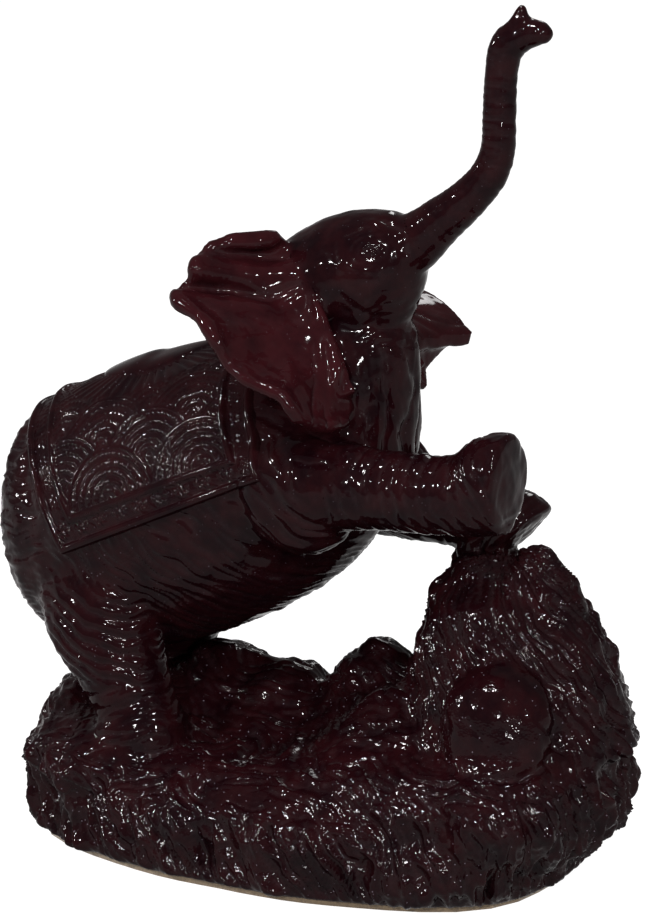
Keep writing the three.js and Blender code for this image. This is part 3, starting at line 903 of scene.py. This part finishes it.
    def plinth(self, points: Array, normals: Array) -> Array:
        """Curved strokes down the skirt and streaked mounds on top.

        Args:
            points: Places in mm, one row each.
            normals: The outward direction at each place.

        Returns:
            A height in mm for each place.
        """
        x, y, z = points.T
        middle_x, half_length, half_width = -15.6, 91.0, 54.0
        sideways = 1.0 - ramp(normals[:, 2], 0.25, 0.75)
        round_mm = 75.0 * np.arctan2(y / half_width, (x - middle_x) / half_length)
        down = 0.8 * self.strokes(round_mm + 0.45 * z, z, points, 51, 4.0)
        down += 0.75 * self.strokes(round_mm + 0.3 * z, z, points, 47, 7.5)
        flow = self.strokes(z + 0.5 * x + 0.2 * y, x - z, points, 55, 2.9)
        turn = self.strokes(y + 0.4 * z, x, points, 59, 3.2)
        flow = 0.9 * flow + 1.2 * self.strokes(z + 0.3 * x, x, points, 43, 6.5)
        turn = 0.9 * turn + 1.2 * self.strokes(y - 0.3 * x, x, points, 45, 7.0)
        choice = ramp(noise(points, 22.0, 63), -0.25, 0.25)
        top = 0.75 * (choice * flow + (1.0 - choice) * turn)
        lump = 2.6 * noise(points, 16.0, 67) + 1.2 * noise(points, 6.0, 69)
        lump = lump - 0.7 * np.clip(noise(points, 2.6, 70), 0.0, 1.0)
        lift = sideways * (2.8 * down - 1.0) + (1.0 - sideways) * 1.3 * top + lump * (0.5 + 0.5 * sideways)
        return (lift - 0.5) * ramp(z, 1.2, 5.0)

    def boulder(self, points: Array, normals: Array) -> Array:
        """Weathered strokes on the pillar and pits in the boulder, the dome left smooth.

        Args:
            points: Places in mm, one row each.
            normals: The outward direction at each place; not used here.

        Returns:
            A height in mm for each place.
        """
        off = np.linalg.norm((points - (50.5, -22.0, 50.0)) * (1.0, 1.0, 0.8), axis=1)
        dome = 1.0 - ramp(off + 1.2 * noise(points, 9.0, 76), 12.0, 17.0)
        swing = 24.0 * np.arctan2(points[:, 1] - 6.0, points[:, 0] - 38.0)
        strokes = self.strokes(swing + 0.5 * points[:, 2], points[:, 2], points, 71, 3.3)
        pits = -np.clip(noise(points, 2.6, 73) - 0.1, 0.0, 1.0)
        pits = pits - 0.6 * np.clip(noise(points, 1.3, 75), 0.0, 1.0)
        lump = 1.5 * noise(points, 12.0, 77) + 0.6 * noise(points, 5.0, 78)
        rough = 2.0 * strokes * (0.3 + 0.7 * self.fade(points, 79)) + 0.45 * pits + lump
        edge = bump(off - 16.0, 1.3) * ramp(points[:, 0], 51.0, 57.0)
        return rough * (1.0 - 0.88 * dome) - 0.1 + 1.7 * dome - 1.7 * edge

    def ear_right(self, points: Array, normals: Array) -> Array:
        """Three stacked lobes above a smooth bowl, and folds down the front lobe.

        Args:
            points: Places in mm, one row each.
            normals: The outward direction at each place; not used here.

        Returns:
            A height in mm for each place.
        """
        lines = (
            (1.0, 3.4, [(-30.0, -24.0, 178.5), (-22.0, -18.0, 176.5)]),
            (-1.1, 1.7, [(-35.0, -34.0, 176.0), (-27.0, -20.4, 173.6), (-18.0, -14.0, 172.5)]),
            (1.4, 3.2, [(-35.0, -39.0, 171.5), (-27.0, -25.0, 169.5), (-17.0, -17.0, 168.5)]),
            (-1.3, 1.8, [(-37, -41, 167.6), (-28.7, -28.7, 165.2), (-20.4, -23.4, 162.3), (-13, -18, 165.5)]),
            (1.1, 3.6, [(-36.0, -45.0, 165.0), (-28.0, -36.0, 162.5), (-20.0, -27.0, 160.0)]),
            (-0.8, 3.2, [(-27, -46, 161), (-22, -38, 158), (-15, -27, 156), (-9, -22, 158)]),
            (-1.4, 3.0, [(-9.5, -19.5, 163.0), (-11.0, -22.0, 157.5)]),
            (0.8, 2.2, [(-9.0, -31.0, 150.0), (-5.0, -38.0, 141.0)]),
            (-0.7, 0.8, [(-6.0, -23.0, 152.0), (-1.5, -30.0, 142.0), (2.7, -39.9, 134.1)]),
            (-0.7, 0.8, [(-2.5, -22.5, 150.5), (1.5, -27.0, 141.0), (4.1, -34.6, 132.1)]),
            (-0.6, 0.8, [(0.0, -21.0, 149.0), (4.0, -23.5, 140.0), (5.5, -28.5, 131.7)]),
            (1.0, 1.5, [(-7.5, -18.0, 163.0), (-3.5, -20.0, 154.0), (3.0, -20.5, 143.0)]),
        )
        rim = np.array(
            [(-16, -17, 177.5), (-20, -19, 178.8), (-26.6, -23, 178), (-32.6, -30, 177.4),
             (-34.7, -38, 173.8), (-34, -42.5, 169), (-38, -46, 165.6), (-26, -48.5, 161),
             (-20, -51, 154.3), (-18, -52, 149.4), (-12.7, -52, 144.4), (-1.6, -50, 141),
             (1.8, -45, 135), (5, -34, 130.4), (6.9, -27, 130.4)],
            float,
        )
        height = 0.5 * noise(points, 9.0, 201) + 0.95 * bump(along_line(points, rim)[1], 2.8)
        for amount, breadth, corners in lines:
            height += amount * bump(along_line(points, np.array(corners))[1], breadth)
        folds = pillows((0.8 * points[:, 1] + 0.5 * points[:, 2]) / 5.5 + self.wander(points, 203, 0.5, 14.0))
        return height + 0.16 * folds * ramp(-points[:, 2], -158.0, -150.0) * self.fade(points, 205)

    def ear_left(self, points: Array, normals: Array) -> Array:
        """Gentle folds that run out to the rim.

        Args:
            points: Places in mm, one row each.
            normals: The outward direction at each place; not used here.

        Returns:
            A height in mm for each place.
        """
        root = np.array([-1.0, 18.0, 156.0])
        offset = points - root
        swing = np.arctan2(offset[:, 2], offset[:, 1])
        folds = pillows(swing * 3.2 + self.wander(points, 211, 0.4, 14.0))
        reach = np.linalg.norm(offset, axis=1)
        return 0.5 * folds * ramp(reach, 6.0, 14.0) * self.fade(points, 213) + 0.15 * noise(points, 6.0, 215)

    def tail(self, points: Array, normals: Array) -> Array:
        """Folds across the tail, and strands of hair along its tuft.

        Args:
            points: Places in mm, one row each.
            normals: The outward direction at each place; not used here.

        Returns:
            A height in mm for each place.
        """
        tuft = 1.0 - ramp(points[:, 2], 56.0, 64.0)
        hair = pillows(points[:, 1] / 1.7 + 0.4 * noise(points, 6.0, 221))
        rings = pillows(points[:, 2] / 3.0 + 0.3 * noise(points, 5.0, 223))
        return 0.4 * tuft * hair + 0.25 * (1.0 - tuft) * rings

    def every(self, points: Array) -> Array:
        """Unevenness that all the castings share."""
        return 0.16 * noise(points, 5.5, 81) + 0.07 * noise(points, 1.7, 83) - 0.05


# --------------------------------------------------------------------------- sub-assemblies


@dataclass
class Figure:
    """Body, head, trunk, legs and rock: one flowing skin that is carved and then parted at its joints.

    Attributes:
        net_mm: Side of the skin's squares.
        rounds: Rounds of softening.
        thin_rounds: Rounds of softening on the ears and tail.
        grow_mm: How far the castings are swollen so that their joint gaps close.
        ear_grow_mm: How far the ears are swollen, because softening thins them.
        castings: The CAD castings, in the order of their numbers.
        dowels: The dowels whose bores the skin fills.
        heaps: Middle and radii in mm of each mound that is added before the skin is made.
        hide: The relief.
    """

    net_mm: float = 0.7
    rounds: int = 40
    thin_rounds: int = 20
    grow_mm: float = 0.22
    ear_grow_mm: float = 0.5
    castings: tuple[str, ...] = (
        "plinth", "boulder", "torso", "head", "trunk",
        "foreleg_right", "foreleg_left", "hindleg_right", "hindleg_left",
        "ear_right", "ear_left", "tail",
    )
    dowels: tuple[str, ...] = (
        "neck_dowel", "trunk_dowel", "foreleg_dowel_right", "foreleg_dowel_left",
        "hindleg_dowel_right", "hindleg_dowel_left",
    )
    heaps: tuple[tuple[tuple[float, float, float], tuple[float, float, float]], ...] = (
        ((50.0, -1.0, 26.0), (25.5, 45.0, 23.0)),
        ((28.0, -24.0, 24.0), (30.0, 24.0, 17.0)),
        ((-70.0, -6.0, 24.0), (34.0, 40.0, 15.0)),
        ((-9.0, -23.5, 107.0), (17.0, 13.0, 15.0)),
        ((-9.0, 23.5, 104.0), (17.0, 13.0, 15.0)),
    )
    hide: Hide = field(default_factory=Hide)

    def reliefs(self) -> dict[str, Relief]:
        """The relief of each casting.

        Returns:
            The reliefs by the casting's name.
        """
        hide = self.hide
        near, far = -25.2, 25.2
        lines = {
            "foreleg_right": [
                (-14, near, 111), (16, near, 113), (36, near, 114),
                (45, near, 115.6), (53, near, 119), (56, near, 119),
            ],
            "foreleg_left": [
                (-14, far, 106), (10, far, 97), (23, far, 96.7),
                (29, far, 95.5), (33.5, far, 93), (36, far, 91),
            ],
            "hindleg_right": [(-80, near, 88), (-76, near, 76), (-61, near, 32)],
            "hindleg_left": [(-78, far, 88), (-76, far, 76), (-78, far, 32)],
        }
        table: dict[str, Relief] = {}
        for number, (name, line) in enumerate(lines.items()):
            table[name] = hide.limb(np.array(line, float), 101 + 10 * number)
        for name in ("plinth", "boulder", "torso", "head", "trunk", "ear_right", "ear_left", "tail"):
            table[name] = getattr(hide, name)
        return table

    def swell(self, name: str) -> float:
        """How far a casting's copy is swollen, in mm."""
        return self.ear_grow_mm if name.startswith("ear") else self.grow_mm

    def merge(self, nodes: dict[str, bpy.types.Object]) -> bpy.types.Object:
        """Joins the castings into one net with no joints and no hidden hollows.

        Args:
            nodes: The CAD nodes by name.

        Returns:
            The net.
        """
        whole = cad_copies([nodes[n] for n in self.castings + self.dowels], "figure", self.swell)
        self.heap(whole)
        resurface(whole, self.net_mm)
        select_only(whole)
        bpy.ops.mesh.separate(type="LOOSE")
        parts = sorted(bpy.context.selected_objects, key=lambda o: len(o.data.vertices))
        log.info("figure: %d loose shells, largest %d points", len(parts), len(parts[-1].data.vertices))
        for part in parts[:-1]:
            bpy.data.objects.remove(part)
        return parts[-1]

    def heap(self, whole: bpy.types.Object) -> None:
        """Rounds the shoulders, and heaps rock at the boulder's foot where it would have a ledge.

        Args:
            whole: The joined castings, changed in place.
        """
        for middle, radii in self.heaps:
            place = ((np.array(middle) + ORIGIN) * MM).tolist()
            select_only(whole)
            bpy.ops.mesh.primitive_uv_sphere_add(segments=40, ring_count=20, radius=MM, location=place)
            heap = bpy.context.active_object
            bpy.ops.object.mode_set(mode="EDIT")
            bpy.ops.transform.resize(value=radii)
            bpy.ops.object.mode_set(mode="OBJECT")
            bpy.ops.object.transform_apply(location=True, rotation=True, scale=True)
            whole.select_set(True)
            bpy.context.view_layer.objects.active = whole
            bpy.ops.object.join()

    def owners(self, nodes: dict[str, bpy.types.Object], points: Array) -> Array:
        """Which casting is nearest to each point, by its number in castings.

        Args:
            nodes: The CAD nodes by name.
            points: Places in mm, one row each.

        Returns:
            One number for each point.
        """
        corners, triangles, owner = [], [], []
        for number, name in enumerate(self.castings):
            mesh = nodes[name].data
            mesh.calc_loop_triangles()
            flat = np.empty(len(mesh.loop_triangles) * 3, np.int32)
            mesh.loop_triangles.foreach_get("vertices", flat)
            triangles.append(flat.reshape(-1, 3) + sum(map(len, corners)))
            corners.append(points_of(mesh))
            owner.append(np.full(len(triangles[-1]), number))
        tree = BVHTree.FromPolygons(np.vstack(corners).tolist(), np.vstack(triangles).tolist())
        owner_of = np.concatenate(owner)
        return np.array([owner_of[tree.find_nearest(p)[2]] for p in points.tolist()])

    def build(self, nodes: dict[str, bpy.types.Object]) -> BVHTree:
        """Builds the castings.

        Args:
            nodes: The CAD nodes by name.

        Returns:
            The softened skin before it was carved, in mm, for the cloth to lie on.
        """
        whole = self.merge(nodes)
        mesh = whole.data
        net = Net(len(mesh.vertices), squares_of(mesh))
        owner = self.owners(nodes, points_of(mesh))
        numbers = range(len(self.castings))
        shares = np.column_stack([net.spread((owner == k).astype(float), 6) for k in numbers])
        owner = shares.argmax(1)
        blend = np.column_stack([net.spread(shares[:, k], 16) for k in numbers])
        blend /= blend.sum(1)[:, None]
        slender = blend[:, [self.castings.index(n) for n in ("ear_right", "ear_left", "tail")]].sum(1)
        thick = whole.vertex_groups.new(name="thick")
        for step in range(1, 11):
            here = np.flatnonzero(np.round((1.0 - slender) * 10) == step)
            thick.add(here.tolist(), step / 10, "REPLACE")
        select_only(whole)
        for rounds, group in ((self.thin_rounds, ""), (self.rounds - self.thin_rounds, "thick")):
            soften = whole.modifiers.new("soften", "SMOOTH")
            soften.factor, soften.iterations, soften.vertex_group = 0.5, rounds, group
            bpy.ops.object.modifier_apply(modifier=soften.name)
        points, normals = points_of(mesh), normals_of(mesh)
        skin = BVHTree.FromPolygons(points.tolist(), net.squares.tolist())
        normals = np.column_stack([net.spread(normals[:, k], 7) for k in range(3)])
        normals /= np.linalg.norm(normals, axis=1)[:, None]
        height = self.hide.every(points)
        for name, carve in self.reliefs().items():
            share = blend[:, self.castings.index(name)]
            here = share > 0.004
            height[here] += share[here] * carve(points[here], normals[here])
        height *= ramp(points[:, 2], 1.2, 3.0)
        dust = hollows(net, height)
        carved = points + height[:, None] * normals
        ears = blend[:, [self.castings.index(n) for n in ("ear_right", "ear_left")]].sum(1)
        rock = blend[:, [self.castings.index(n) for n in ("plinth", "boulder")]].sum(1)
        belly = blend[:, self.castings.index("torso")] * ramp(-points[:, 2], -118.0, -96.0)
        # The rock and patches of the belly get the sand bump and more of the painted glints, pale specks that
        # stand in for tiny highlights.
        grit = np.clip(rock + 0.4 * belly * ramp(noise(points, 14.0, 97), 0.0, 0.5), 0.0, 1.0)
        # The thin layer marks the ears, where the material paints a redder glow of light through the thin
        # walls.
        self.part(carved, {"dust": dust, "thin": ramp(ears, 0.3, 1.0), "grit": grit}, net, owner)
        bpy.data.objects.remove(whole)
        return skin

    def part(self, points: Array, layers: dict[str, Array], net: Net, owner: Array) -> None:
        """Parts the carved skin at the joints and closes each casting.

        Args:
            points: The skin's points in mm.
            layers: Numbers for the materials to read, by name.
            net: The skin's squares.
            owner: The casting that each point belongs to.
        """
        corners = owner[net.squares]
        pair = np.sort(corners, axis=1)
        face_owner = np.where(pair[:, 1] == pair[:, 2], pair[:, 1], pair[:, 0])
        for number, name in enumerate(self.castings):
            faces = net.squares[face_owner == number]
            used, inverse = np.unique(faces, return_inverse=True)
            mesh = bpy.data.meshes.new(name)
            mesh.from_pydata(((points[used] + ORIGIN) * MM).tolist(), [], inverse.reshape(-1, 4).tolist())
            for layer, values in layers.items():
                set_layer(mesh, layer, values[used])
            close(mesh, flat=name == "plinth")
            finish = Finish.EAR if name.startswith("ear") else Finish.CASTING
            settle(new_object(f"{name}_carved", mesh), finish, name)


def close(mesh: bpy.types.Mesh, flat: bool = False) -> None:
    """Caps a mesh's open rims, with a sharp rim so that the cap doesn't shade the skin.

    Args:
        mesh: The mesh, changed in place.
        flat: Whether its flat underside becomes one large face first.
    """
    work = bmesh.new()
    work.from_mesh(mesh)
    if flat:
        low = min(v.co.z for v in work.verts)
        under = [f for f in work.faces if all(v.co.z < low + 0.4 * MM for v in f.verts)]
        bmesh.ops.delete(work, geom=under, context="FACES")
    rims = [e for e in work.edges if e.is_boundary]
    filled = bmesh.ops.holes_fill(work, edges=rims, sides=0)["faces"]
    for edge in rims:
        edge.smooth = False
    bmesh.ops.triangulate(work, faces=filled)
    left = sum(e.is_boundary for e in work.edges)
    if left:
        log.info("%s: %d rim edges still open", mesh.name, left)
    work.to_mesh(mesh)
    work.free()


@dataclass
class SaddleCloth:
    """The patterned cloth and pad over the back, as one thin relief that follows the skin.

    Attributes:
        step_mm: Spacing of its points.
        front: Where its front edge lies along the spine, in mm.
        drop: How far round each flank it hangs.
        field_drop: How far round each flank its inner field reaches.
        round_mm: The barrel's usual radius, which turns an angle into a length.
        rear_mean: Where its rear edge lies along the spine on average, in mm.
        pad_middle: Where the pad's middle lies along the spine, in mm.
        pad_half: Half the pad's length and breadth in mm.
        spine: The line that it hangs from.
    """

    step_mm: float = 0.37
    front: float = 45.2
    drop: float = math.radians(93.0)
    field_drop: float = math.radians(78.0)
    round_mm: float = 37.0
    rear_mean: float = -34.0
    pad_middle: float = 7.0
    pad_half: tuple[float, float] = (19.0, 12.5)
    spine: Spine = field(default_factory=Spine)

    @property
    def edge(self) -> float:
        """Length from the top of the back round to the lower edge, in mm."""
        return self.round_mm * self.drop

    @property
    def field_edge(self) -> float:
        """Length from the top of the back round to the inner field's lower edge, in mm."""
        return self.round_mm * self.field_drop

    @property
    def band(self) -> float:
        """Length from the top of the back round to the middle of the lower band, in mm."""
        return 0.5 * (self.field_edge + 1.0 + self.edge - 3.6)

    def rear(self, angle: Array) -> Array:
        """Where the rear edge lies along the spine, at an angle from the top."""
        return -36.5 + 10.5 * np.abs(angle) / self.drop

    def ribs(self, along: Array, angle: Array) -> tuple[Array, Array, Array]:
        """Round cords along the outer edge and round the inner field.

        Args:
            along: Place along the spine in mm.
            angle: Angle from the top of the back.

        Returns:
            The cords' height, how far inside the field a place is, and how far from the ends, in mm.
        """
        turn = self.round_mm * np.abs(angle)
        beside = np.minimum(along - self.rear(angle), self.front - along)
        outer = 1.35 * tube(np.minimum(beside, self.edge - turn) - 1.5, 1.3)
        ends = np.minimum(along - self.rear(angle) - 9.0, 36.3 - along)
        in_field = np.minimum(ends, self.field_edge + 1.0 - turn)
        return np.maximum(outer, 1.25 * tube(in_field, 1.2)), in_field, beside

    def flowers(self, along: Array, turn: Array) -> Array:
        """Six beads about one, every 7 mm along the band.

        Args:
            along: Place along the band in mm.
            turn: Place across it in mm.

        Returns:
            A height in mm for each place.
        """
        step = 7.0
        local = (along + 1.5) - step * np.round((along + 1.5) / step)
        across = turn - self.band
        ring = np.arctan2(across, local)
        reach = np.hypot(across, local)
        beads = np.hypot(reach - 1.75, 1.75 * (ring - np.pi / 3 * np.round(ring / (np.pi / 3))))
        return np.maximum(0.75 * tube(reach, 0.85), 0.65 * tube(beads, 0.8))

    def fans(self, along: Array, turn: Array) -> Array:
        """Overlapping fans of beaded arcs, each row in front of the one above.

        Args:
            along: Place along the spine in mm.
            turn: Length from the top of the back round to a place, in mm.

        Returns:
            A height in mm for each place.
        """
        reach, row_step = 15.4, 8.0
        height = np.zeros_like(along)
        taken = np.zeros(along.shape, bool)
        for row in range(7):
            centre_turn = self.field_edge - row * row_step
            shift = -3.0 + (0.0 if row % 2 == 0 else reach)
            local = (along - shift) - 2 * reach * np.round((along - shift) / (2 * reach))
            up = centre_turn - turn
            distance = np.hypot(local, up)
            inside = (distance < reach) & (up > -1.5) & ~taken
            ring = np.round(distance / 2.6)
            radius = np.maximum(ring, 0.6) * 2.6
            swing = np.arctan2(up, local) * radius
            beads = 0.8 + 0.2 * np.cos(2 * np.pi * swing / 1.7)
            arc = tube(distance - ring * 2.6, 0.85) * beads
            border = tube(distance - (reach - 0.7), 0.75)
            fan = 0.15 + np.maximum(0.5 * arc, 0.55 * border)
            height = np.where(inside, fan - 0.012 * distance, height)
            taken |= inside
        return height

    def oval(self, along: Array, turn: Array) -> Array:
        """How far out a place is from the pad's middle, where 1 is the pad's rim."""
        return np.hypot((along - self.pad_middle) / self.pad_half[0], turn / self.pad_half[1])

    def pad(self, along: Array, turn: Array, height: Array) -> Array:
        """Lays the smooth pad and the petals round it over the pattern.

        Args:
            along: Place along the spine in mm.
            turn: Length from the top of the back round to a place, in mm.
            height: The pattern's height in mm.

        Returns:
            The height with the pad, in mm.
        """
        oval = self.oval(along, turn)
        turn_round = np.arctan2(turn / self.pad_half[1], (along - self.pad_middle) / self.pad_half[0])
        petal_count = 24
        petals = pillows(turn_round * petal_count / (2 * np.pi) * 2 + 0.5, 0.7)
        petal = 0.75 + 0.55 * petals - 0.35 * np.clip(oval - 1.0, 0.0, 1.0)
        ring = (oval > 0.98) & (oval < 1.62)
        height = np.where(ring, np.maximum(0.15, petal), height)
        dome = np.clip(1.0 - oval**2, 0.0, 1.0) ** 0.5
        return np.where(oval < 1.0, 0.5 + 1.9 * dome**0.7, height)

    def relief(self, along: Array, angle: Array) -> Array:
        """The cloth's height in mm above the skin.

        Args:
            along: Place along the spine in mm.
            angle: Angle from the top of the back.

        Returns:
            A height in mm for each place.
        """
        ribs, in_field, beside = self.ribs(along, angle)
        turn = self.round_mm * np.abs(angle)
        band = self.flowers(along, turn)
        side_band = 0.35 * self.flowers(turn + 2.0, beside + self.band - 6.2)
        lower = turn > self.field_edge + 1.0
        pattern = np.where(in_field > 0.0, self.fans(along, turn), np.where(lower, band, side_band))
        pattern = self.pad(along, turn, pattern)
        edge = np.minimum(beside, self.edge - turn)
        height = 0.2 + np.maximum(pattern, ribs * (self.oval(along, turn) > 1.6))
        return height * ramp(edge, -0.05, 0.5) - 0.35 * (1.0 - ramp(edge, 0.0, 0.5))

    def build(self, skin: BVHTree) -> None:
        """Builds the cloth on the softened skin.

        Args:
            skin: The softened skin in mm.
        """
        columns = int((self.front - self.rear_mean) / self.step_mm)
        rows = int(2 * self.drop * self.round_mm / self.step_mm)
        shares, angles = np.linspace(0, 1, columns), np.linspace(-self.drop, self.drop, rows)
        share, angle = np.meshgrid(shares, angles, indexing="ij")
        along = self.rear(angle) + share * (self.front - self.rear(angle))
        start = self.spine.place(along, angle, np.zeros_like(along)).reshape(-1, 3)
        toward = self.spine.place(along, angle, np.ones_like(along)).reshape(-1, 3) - start
        # Where a ray from the spine misses the skin within 80 mm, the barrel is taken as 36 mm in radius.
        hits = [skin.ray_cast(s, d, 80.0)[3] or 36.0 for s, d in zip(start.tolist(), toward.tolist())]
        radius = np.array(hits).reshape(along.shape)
        for _ in range(14):
            padded = np.pad(radius, 1, mode="edge")
            near = padded[:-2, 1:-1] + padded[2:, 1:-1] + padded[1:-1, :-2] + padded[1:-1, 2:]
            radius = 0.2 * radius + 0.2 * near
        height = self.relief(along, angle)
        points = self.spine.place(along, angle, radius + height).reshape(-1, 3)
        number = np.arange(columns * rows).reshape(columns, rows)
        corners = [number[:-1, :-1], number[:-1, 1:], number[1:, 1:], number[1:, :-1]]
        faces = np.stack(corners, -1).reshape(-1, 4)
        net = Net(columns * rows, faces)
        dust = hollows(net, height.ravel(), 6, 0.22)
        low_faces = np.stack([number[:-1, 0], number[1:, 0], number[1:, -1], number[:-1, -1]], -1)
        everything = faces.tolist() + low_faces.tolist() + [number[0, ::-1].tolist(), number[-1, :].tolist()]
        mesh = bpy.data.meshes.new("saddle_cloth")
        mesh.from_pydata(((points + ORIGIN) * MM).tolist(), [], everything)
        set_layer(mesh, "dust", 0.2 + 0.8 * dust)
        # The cloth gets a little of the sand bump and of the painted glints.
        set_layer(mesh, "grit", np.full(len(points), 0.35))
        work = bmesh.new()
        work.from_mesh(mesh)
        bmesh.ops.triangulate(work, faces=[f for f in work.faces if len(f.verts) > 4])
        bmesh.ops.recalc_face_normals(work, faces=work.faces)
        for edge in work.edges:
            if edge.calc_face_angle(0.0) > 1.2:
                edge.smooth = False
        work.to_mesh(mesh)
        work.free()
        settle(new_object("saddle_cloth", mesh), Finish.CASTING)


@dataclass
class Hardware:
    """The felt under the base and the steel dowels in the joints, which keep their CAD shape."""

    felt: str = "felt_pad"

    def build(self, nodes: dict[str, bpy.types.Object]) -> None:
        """Dresses the felt and the dowels.

        Args:
            nodes: The CAD nodes by name.
        """
        Finish.FELT.dress(nodes[self.felt])
        dowels = [n for n in sorted(nodes) if "dowel" in n]
        for name in dowels:
            Finish.STEEL.dress(nodes[name])
        log.info("felt and %d dowels dressed", len(dowels))


@dataclass(frozen=True)
class Lamp:
    """A square soft light that shines on the figure.

    Attributes:
        name: Its name.
        place: Where it stands, in metres.
        size: Its side in metres.
        watts: Its power.
    """

    name: str
    place: tuple[float, float, float]
    size: float
    watts: float

    def build(self) -> None:
        """Hangs the light."""
        data = bpy.data.lights.new(self.name, "AREA")
        data.size, data.energy = self.size, self.watts
        lamp = bpy.data.objects.new(self.name, data)
        lamp.location = self.place
        toward = Vector((0.0, 0.0, 0.12)) - Vector(self.place)
        lamp.rotation_euler = toward.to_track_quat("-Z", "Y").to_euler()
        bpy.context.scene.collection.objects.link(lamp)


@dataclass
class Studio:
    """Plain pale floor, soft lights and the camera.

    Attributes:
        azimuth: The camera's turn from the figure's right side towards its face, in degrees.
        elevation: How far it looks down, in degrees.
        distance: Camera distance in mm.
        lens: Focal length on a 36 mm wide sensor.
        aim: Where it looks, in mm to the right of and above the figure's own origin.
        floor_side: Side of the floor in metres.
        haze: Strength of the light from all round.
        lamps: Small lamps, which make small sharp highlights in the lacquer, and a larger one behind.
    """

    azimuth: float = 28.0
    elevation: float = 13.0
    distance: float = 1100.0
    lens: float = 213.9
    aim: tuple[float, float] = (-13.14, 111.43)
    floor_side: float = 24.0
    haze: float = 0.45
    lamps: tuple[Lamp, ...] = (
        Lamp("lamp_left", (-0.95, -1.25, 0.95), 0.07, 27.6),
        Lamp("lamp_front", (0.35, -1.5, 0.7), 0.07, 22.7),
        Lamp("lamp_right", (1.45, -0.55, 0.8), 0.07, 25.9),
        Lamp("lamp_top", (-0.25, -0.35, 1.5), 0.07, 21.1),
        Lamp("lamp_low", (1.0, -1.3, 0.35), 0.07, 14.6),
        Lamp("lamp_side", (-1.5, -0.5, 0.5), 0.07, 16.2),
        Lamp("lamp_high", (0.6, -0.9, 1.3), 0.07, 19.4),
        Lamp("rim_box", (-0.3, 1.4, 1.0), 0.3, 6.0),
    )

    def directions(self) -> tuple[Array, Array, Array]:
        """The camera's right, up and back.

        Returns:
            Three directions of length 1.
        """
        turn, rise = math.radians(self.azimuth), math.radians(self.elevation)
        back = np.array([math.sin(turn) * math.cos(rise), -math.cos(turn) * math.cos(rise), math.sin(rise)])
        right = np.array([math.cos(turn), math.sin(turn), 0.0])
        return right, np.cross(back, right), back

    def camera(self) -> None:
        """Sets up the camera."""
        right, up, back = self.directions()
        target = self.aim[0] * right + self.aim[1] * up
        place = (target + self.distance * back + ORIGIN) * MM
        data = bpy.data.cameras.new("camera")
        data.sensor_fit, data.sensor_width, data.lens = "HORIZONTAL", 36.0, self.lens
        data.clip_start, data.clip_end = 0.01, 100.0
        body = bpy.data.objects.new("camera", data)
        turn = Matrix(np.column_stack([right, up, back]).tolist())
        body.matrix_world = Matrix.Translation(place) @ turn.to_4x4()
        bpy.context.scene.collection.objects.link(body)
        bpy.context.scene.camera = body

    def build(self) -> None:
        """Builds the studio."""
        bpy.ops.object.select_all(action="DESELECT")
        bpy.ops.mesh.primitive_plane_add(size=self.floor_side, location=(0, 0, 0))
        floor = bpy.context.active_object
        floor.name = "floor"
        wear(floor, MattePaper().build())
        world = bpy.data.worlds.new("studio")
        world.use_nodes = True
        background = world.node_tree.nodes["Background"]
        background.inputs["Color"].default_value = srgb("#fdfbfb")
        background.inputs["Strength"].default_value = self.haze
        bpy.context.scene.world = world
        bpy.context.scene.view_settings.view_transform = "Standard"
        for lamp in self.lamps:
            lamp.build()
        self.camera()


def main() -> None:
    """Builds the figure's sub-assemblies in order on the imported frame."""
    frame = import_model()
    nodes = frame["nodes"]
    skin = Figure().build(nodes)
    SaddleCloth().build(skin)
    Hardware().build(nodes)
    Studio().build()


if __name__ == "__main__":
    main()
